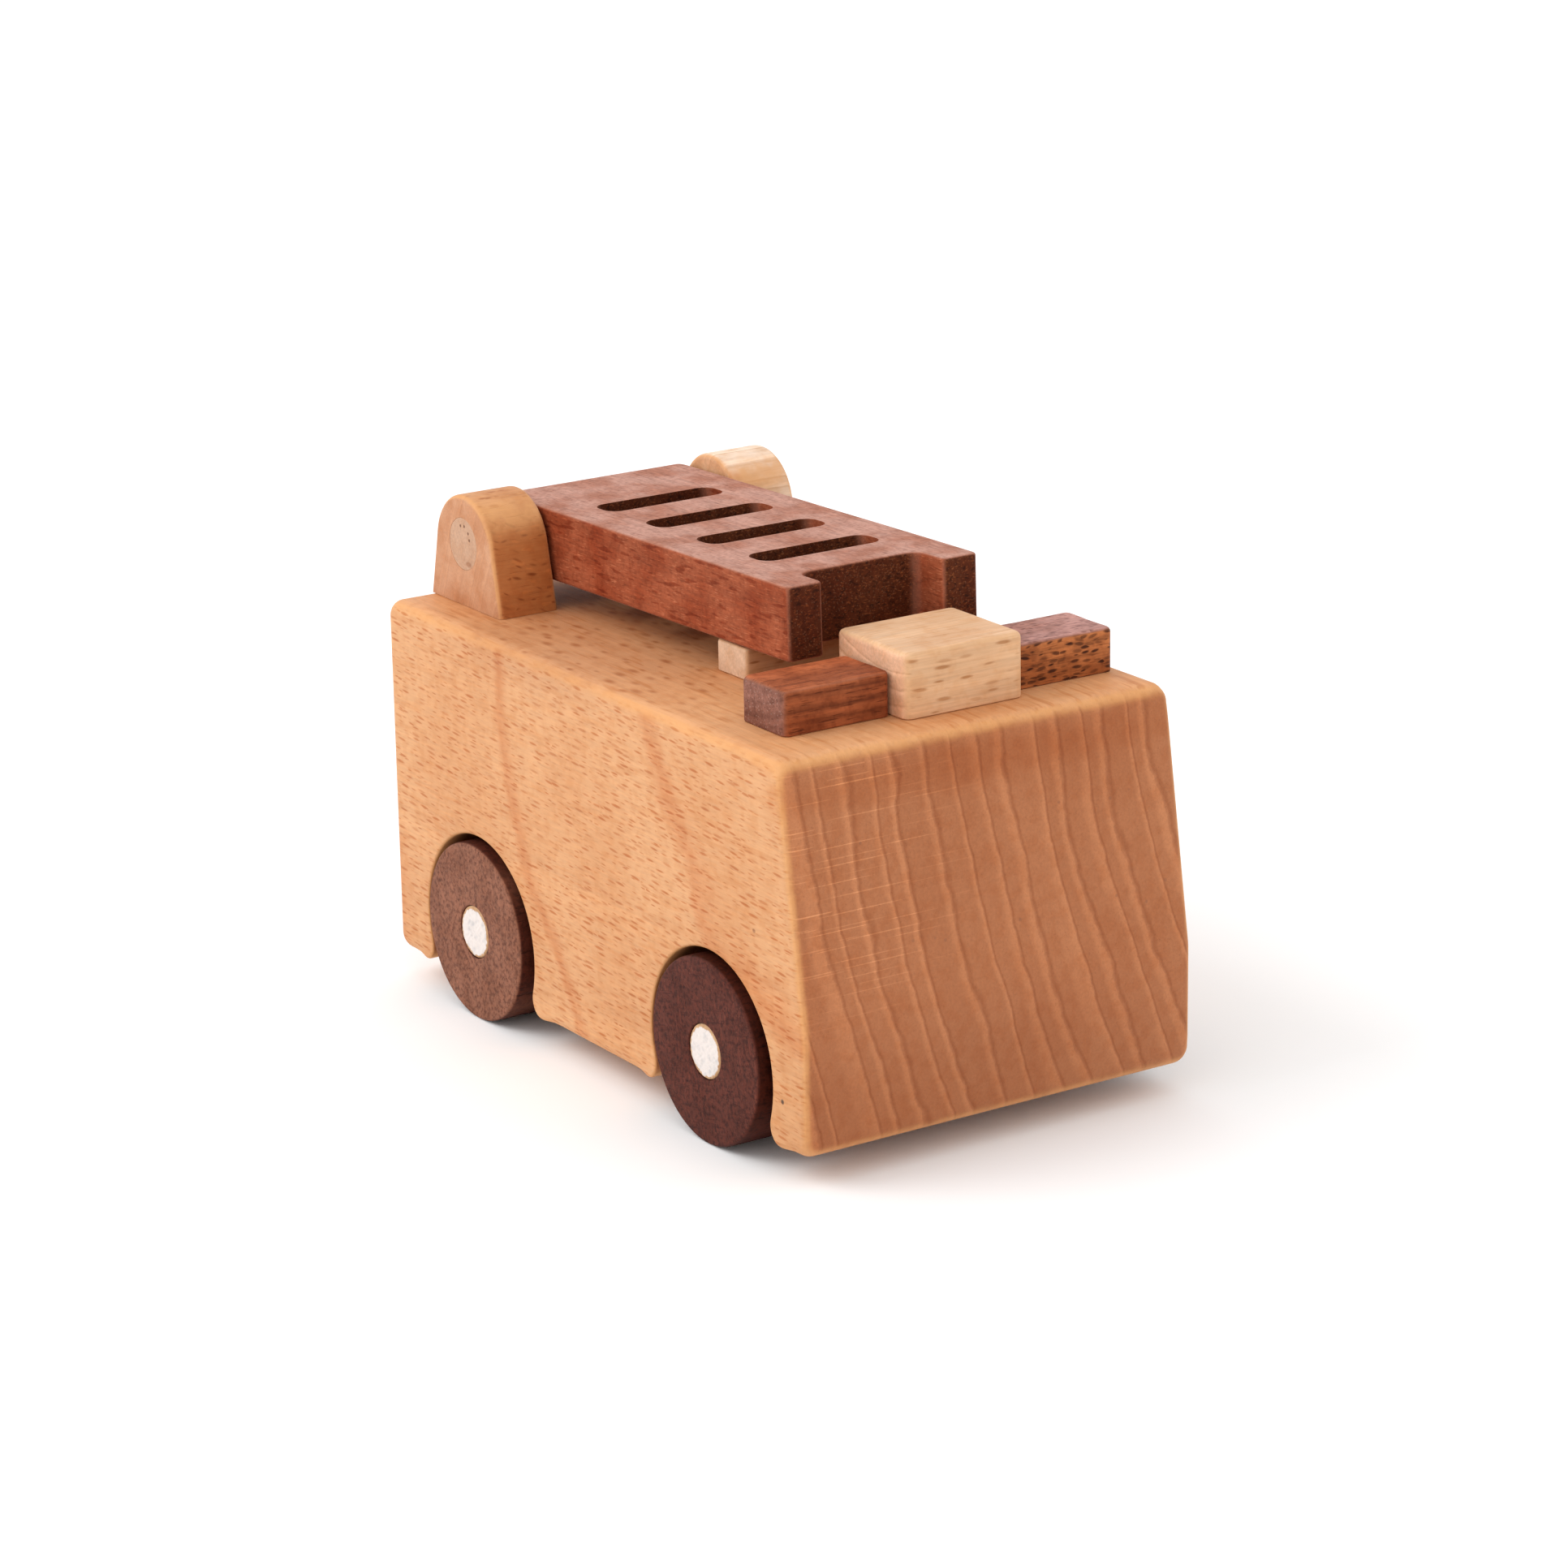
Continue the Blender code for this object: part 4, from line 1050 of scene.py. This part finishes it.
darkWoodLeft = dict(
    darkWood, toneX=(0.50, 0.165, 0.052), toneZ=(0.55, 0.285, 0.245), mottleMm=1.6, mottle=0.5,
    mottleTint=(0.5, 0.42, 0.4), ringsOnFace=0.25, poresOnFace=0.5,
    flecks=({"axis": 0, "share": 1.0, "cell": (1.9, 12.0, 0.85), "size": (0.95, 12.0, 0.30), "tip": 0.5,
             "soft": 0.5, "tint": (0.15, 0.12, 0.13)},
            {"axis": 2, "share": 0.8, "cell": (2.2, 1.3, 8.0), "size": (0.7, 0.35, 8.0), "soft": 0.6,
             "tint": (0.35, 0.28, 0.28)}),
)
ladderWood = dict(
    darkWood, grainAxis="X", turn=(0.0, 0.0, 0.0), toneX=(0.112, 0.027, 0.009), toneY=(0.35, 0.090, 0.039),
    toneZ=(0.53, 0.28, 0.215), blotchMm=7.0, blotch=0.8, mottleMm=0.7, mottle=0.5, heart=(0.0, 60.0, 90.0),
    blotchTint=(0.72, 0.50, 0.38), spacing=2.4, ringsOnFace=0.12, ringsOnEnd=0.3, fibreLength=2.4,
    fibreWidth=0.2, streak=0.75, poresOnFace=0.35, poresOnEnd=0.5, specksOnFace=0.06, specksOnEnd=0.38,
    speckTone=(0.22, 0.10, 0.055), speckCell=0.42, speckSize=0.34, speckShare=0.6, edge=0.4,
    edgeTone=(0.40, 0.16, 0.10), rough=0.66, specular=0.10,
    threads=({"axis": 0, "centre": (7.0, 3.0, 5.0), "turn": (0.0, 30.0, 90.0), "length": 0.45, "width": 0.22,
              "density": 0.50, "share": 0.8, "tint": (2.3, 3.0, 3.0)},
             {"axis": 0, "centre": (2.0, 8.0, 5.0), "turn": (0.0, 50.0, 90.0), "length": 0.8, "width": 0.5,
              "density": 0.50, "share": 0.8, "tint": (0.45, 0.45, 0.5)},
             {"axis": 1, "centre": (7.0, 3.0, 5.0), "turn": (0.0, 3.0, 0.0), "length": 1.7, "width": 0.13,
              "density": 0.45, "share": 0.8, "tint": (1.5, 1.95, 2.2)},
             {"axis": 1, "centre": (40.0, 9.0, 1.0), "turn": (0.0, 2.0, 0.0), "length": 4.0, "width": 0.7,
              "density": 0.50, "share": 0.9, "tint": (0.66, 0.46, 0.36)},
             {"axis": 2, "centre": (4.0, 30.0, 1.0), "turn": (0.0, 0.0, 0.0), "length": 2.0, "width": 0.22,
              "density": 0.40, "share": 0.5, "tint": (0.66, 0.55, 0.50)}),
)
wheelRearWood = dict(
    darkWood, toneX=(0.075, 0.016, 0.008), toneZ=(0.075, 0.016, 0.008), toneY=(0.275, 0.112, 0.066),
    blotchMm=5.0, blotch=0.5, mottleMm=0.7, mottle=1.0, mottleTint=(0.55, 0.50, 0.50),
    heart=(0.0, 45.0, 40.0), spacing=3.2, ringsOnEnd=0.15, ringsOnFace=0.1, fibreWidth=0.4, fibreLength=3.0,
    streak=0.8, poresOnEnd=0.45, specksOnEnd=0.22, speckTone=(0.36, 0.17, 0.11), edge=0.2,
    edgeTone=(0.16, 0.055, 0.03), rough=0.6,
    threads=({"axis": 1, "centre": (3.0, 3.0, 5.0), "turn": (0.0, 50.0, 0.0), "length": 2.2, "width": 0.3,
              "density": 0.42, "share": 0.5, "tint": (0.72, 0.66, 0.64)},),
)
wheelFrontWood = dict(
    wheelRearWood, toneX=(0.060, 0.010, 0.004), toneZ=(0.060, 0.010, 0.004), toneY=(0.108, 0.0265, 0.0168),
    speckTone=(0.22, 0.075, 0.04), edgeTone=(0.08, 0.018, 0.010), mottleTint=(0.48, 0.45, 0.47),
    threads=({"axis": 1, "centre": (3.0, 3.0, 5.0), "turn": (0.0, 12.0, 0.0), "length": 3.0, "width": 0.3,
              "density": 0.46, "share": 0.7, "tint": (0.60, 0.52, 0.52)},
             {"axis": 1, "centre": (9.0, 3.0, 2.0), "turn": (0.0, -78.0, 0.0), "length": 4.0, "width": 0.3,
              "density": 0.40, "share": 0.7, "tint": (1.55, 1.6, 1.6)}),
)


def axleLookAt(node):
    # the axle wood with white paint on its ends, centred on that axle
    low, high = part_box(node)
    centre = (low + high) / 2.0 / mm
    return dict(paleWood, toneY=(0.50, 0.30, 0.16), mottleMm=1.3, edge=0.2, flecks=(), threads=(),
                paint={"centre": (centre.x, 0.0, centre.z), "radius": 3.45, "ragged": 0.9,
                       "tone": (0.74, 0.67, 0.63), "patch": (0.76, 0.79, 0.82)})


print("making the woods")
woods = {
    "bodyBlock": makeWood("oiledBeech", beechLook),
    "pillarRight": makeWood("pinkBeech", pillarWood),
    "pillarLeft": makeWood("yellowBeech", farPillarWood),
    "pivotDowel": makeWood("dowelWood", dowelWood),
    "lightBlockCentre": makeWood("paleBeech", paleWood),
    "restBar": makeWood("restWood", restWood),
    "lightBlockRight": makeWood("darkBlockWood", darkWood),
    "lightBlockLeft": makeWood("darkBlockMottled", darkWoodLeft),
    "ladderBoard": makeWood("ladderWood", ladderWood),
    "wheel-rear": makeWood("wheelWoodRear", wheelRearWood),
    "wheel-front": makeWood("wheelWoodFront", wheelFrontWood),
    "rear-axle": makeWood("rearAxleWood", axleLookAt("rear_axle")),
    "front-axle": makeWood("frontAxleWood", axleLookAt("front_axle")),
}


print("building the body block")
made = [makeBody()]
print("building the pillars, their dowel and the ladder")
made += [makePivot(), makePillar("pillar_right", "pillarRight"), makePillar("pillar_left", "pillarLeft")]
made.append(makeLadder())
print("building the blocks on the roof")
made += [makeBlock(node) for node in blockLook]
print("building the axles and wheels")
for end in ("rear", "front"):
    made.append(makeAxle(f"{end}_axle", f"{end}_wheelset"))
    for side in ("right", "left"):
        made.append(makeWheel(f"wheel_{end}_{side}", f"{end}_wheelset", f"wheel_wood_{end}"))
print("giving", len(made), "pieces and", len(glueDowels), "glue dowels their woods")
for piece in made:
    kind = piece.name.rsplit("-", 1)[0] if piece.name.startswith("wheel") else piece.name
    piece.data.materials.clear()
    piece.data.materials.append(woods[kind])
for node in glueDowels:
    for materialSlot in frame["nodes"][node].material_slots:
        materialSlot.material = woods["pivotDowel"]


studio = {
    "floorSize": 12.0,
    "floorTone": 0.99,
    "sky": 1.04,                           # strength of the even white light from all round
    "keyFrom": (-0.30, -0.66, 0.69),       # the soft lamp's direction from the toy
    "keyDistance": 1.4,
    "keySize": 0.9,
    "keyPower": 7.0,
    "cameraAt": (0.58409, -0.38118, 0.25376),
    "cameraAzimuth": 56.78,                # degrees from square to the right side, round towards the front
    "cameraElevation": 17.16,
    "cameraRoll": -0.97,
    "lens": 113.92,
    "sensor": 36.0,
}


def makeStudio():
    # a wide pale floor, an even sky and one soft round lamp
    scene = bpy.context.scene
    half = studio["floorSize"] / 2.0
    floorMesh = bpy.data.meshes.new("floor")
    corners = [(-half, -half, 0.0), (half, -half, 0.0), (half, half, 0.0), (-half, half, 0.0)]
    floorMesh.from_pydata(corners, [], [(0, 1, 2, 3)])
    floor = bpy.data.objects.new("floor", floorMesh)
    scene.collection.objects.link(floor)
    paper = bpy.data.materials.new("palePaper")
    paper.use_nodes = True
    paperShader = paper.node_tree.nodes["Principled BSDF"]
    paperShader.inputs["Base Color"].default_value = (studio["floorTone"],) * 3 + (1.0,)
    paperShader.inputs["Roughness"].default_value = 0.9
    paperShader.inputs["Specular IOR Level"].default_value = 0.1
    floorMesh.materials.append(paper)

    world = bpy.data.worlds.new("softSky")
    scene.world = world
    world.use_nodes = True
    sky = world.node_tree.nodes["Background"]
    sky.inputs["Color"].default_value = (1.0, 1.0, 1.0, 1.0)
    sky.inputs["Strength"].default_value = studio["sky"]

    key = bpy.data.lights.new("keyLight", "AREA")
    key.shape = "DISK"
    key.size = studio["keySize"]
    key.energy = studio["keyPower"]
    lamp = bpy.data.objects.new("keyLight", key)
    scene.collection.objects.link(lamp)
    towards = Vector(studio["keyFrom"]).normalized()
    lamp.location = towards * studio["keyDistance"]
    lamp.rotation_euler = towards.to_track_quat("Z", "Y").to_euler()


def makeCamera():
    # back points from the object to the camera; the roll turns right and up about it
    scene = bpy.context.scene
    a = math.radians(studio["cameraAzimuth"])
    e = math.radians(studio["cameraElevation"])
    roll = math.radians(studio["cameraRoll"])
    back = Vector((math.sin(a) * math.cos(e), -math.cos(a) * math.cos(e), math.sin(e)))
    right = Vector((0.0, 0.0, 1.0)).cross(back).normalized()
    up = back.cross(right)
    turnedRight = math.cos(roll) * right + math.sin(roll) * up
    turnedUp = -math.sin(roll) * right + math.cos(roll) * up
    view = Matrix((turnedRight, turnedUp, back)).transposed().to_4x4()
    view.translation = Vector(studio["cameraAt"])
    camera = bpy.data.objects.new("camera", bpy.data.cameras.new("camera"))
    scene.collection.objects.link(camera)
    camera.matrix_world = view
    camera.data.lens = studio["lens"]
    camera.data.sensor_width = studio["sensor"]
    camera.data.clip_start = 0.01
    camera.data.clip_end = 50.0
    scene.camera = camera


print("setting floor, light and camera")
makeStudio()
makeCamera()
bpy.context.scene.view_settings.view_transform = "Standard"

print("finished")
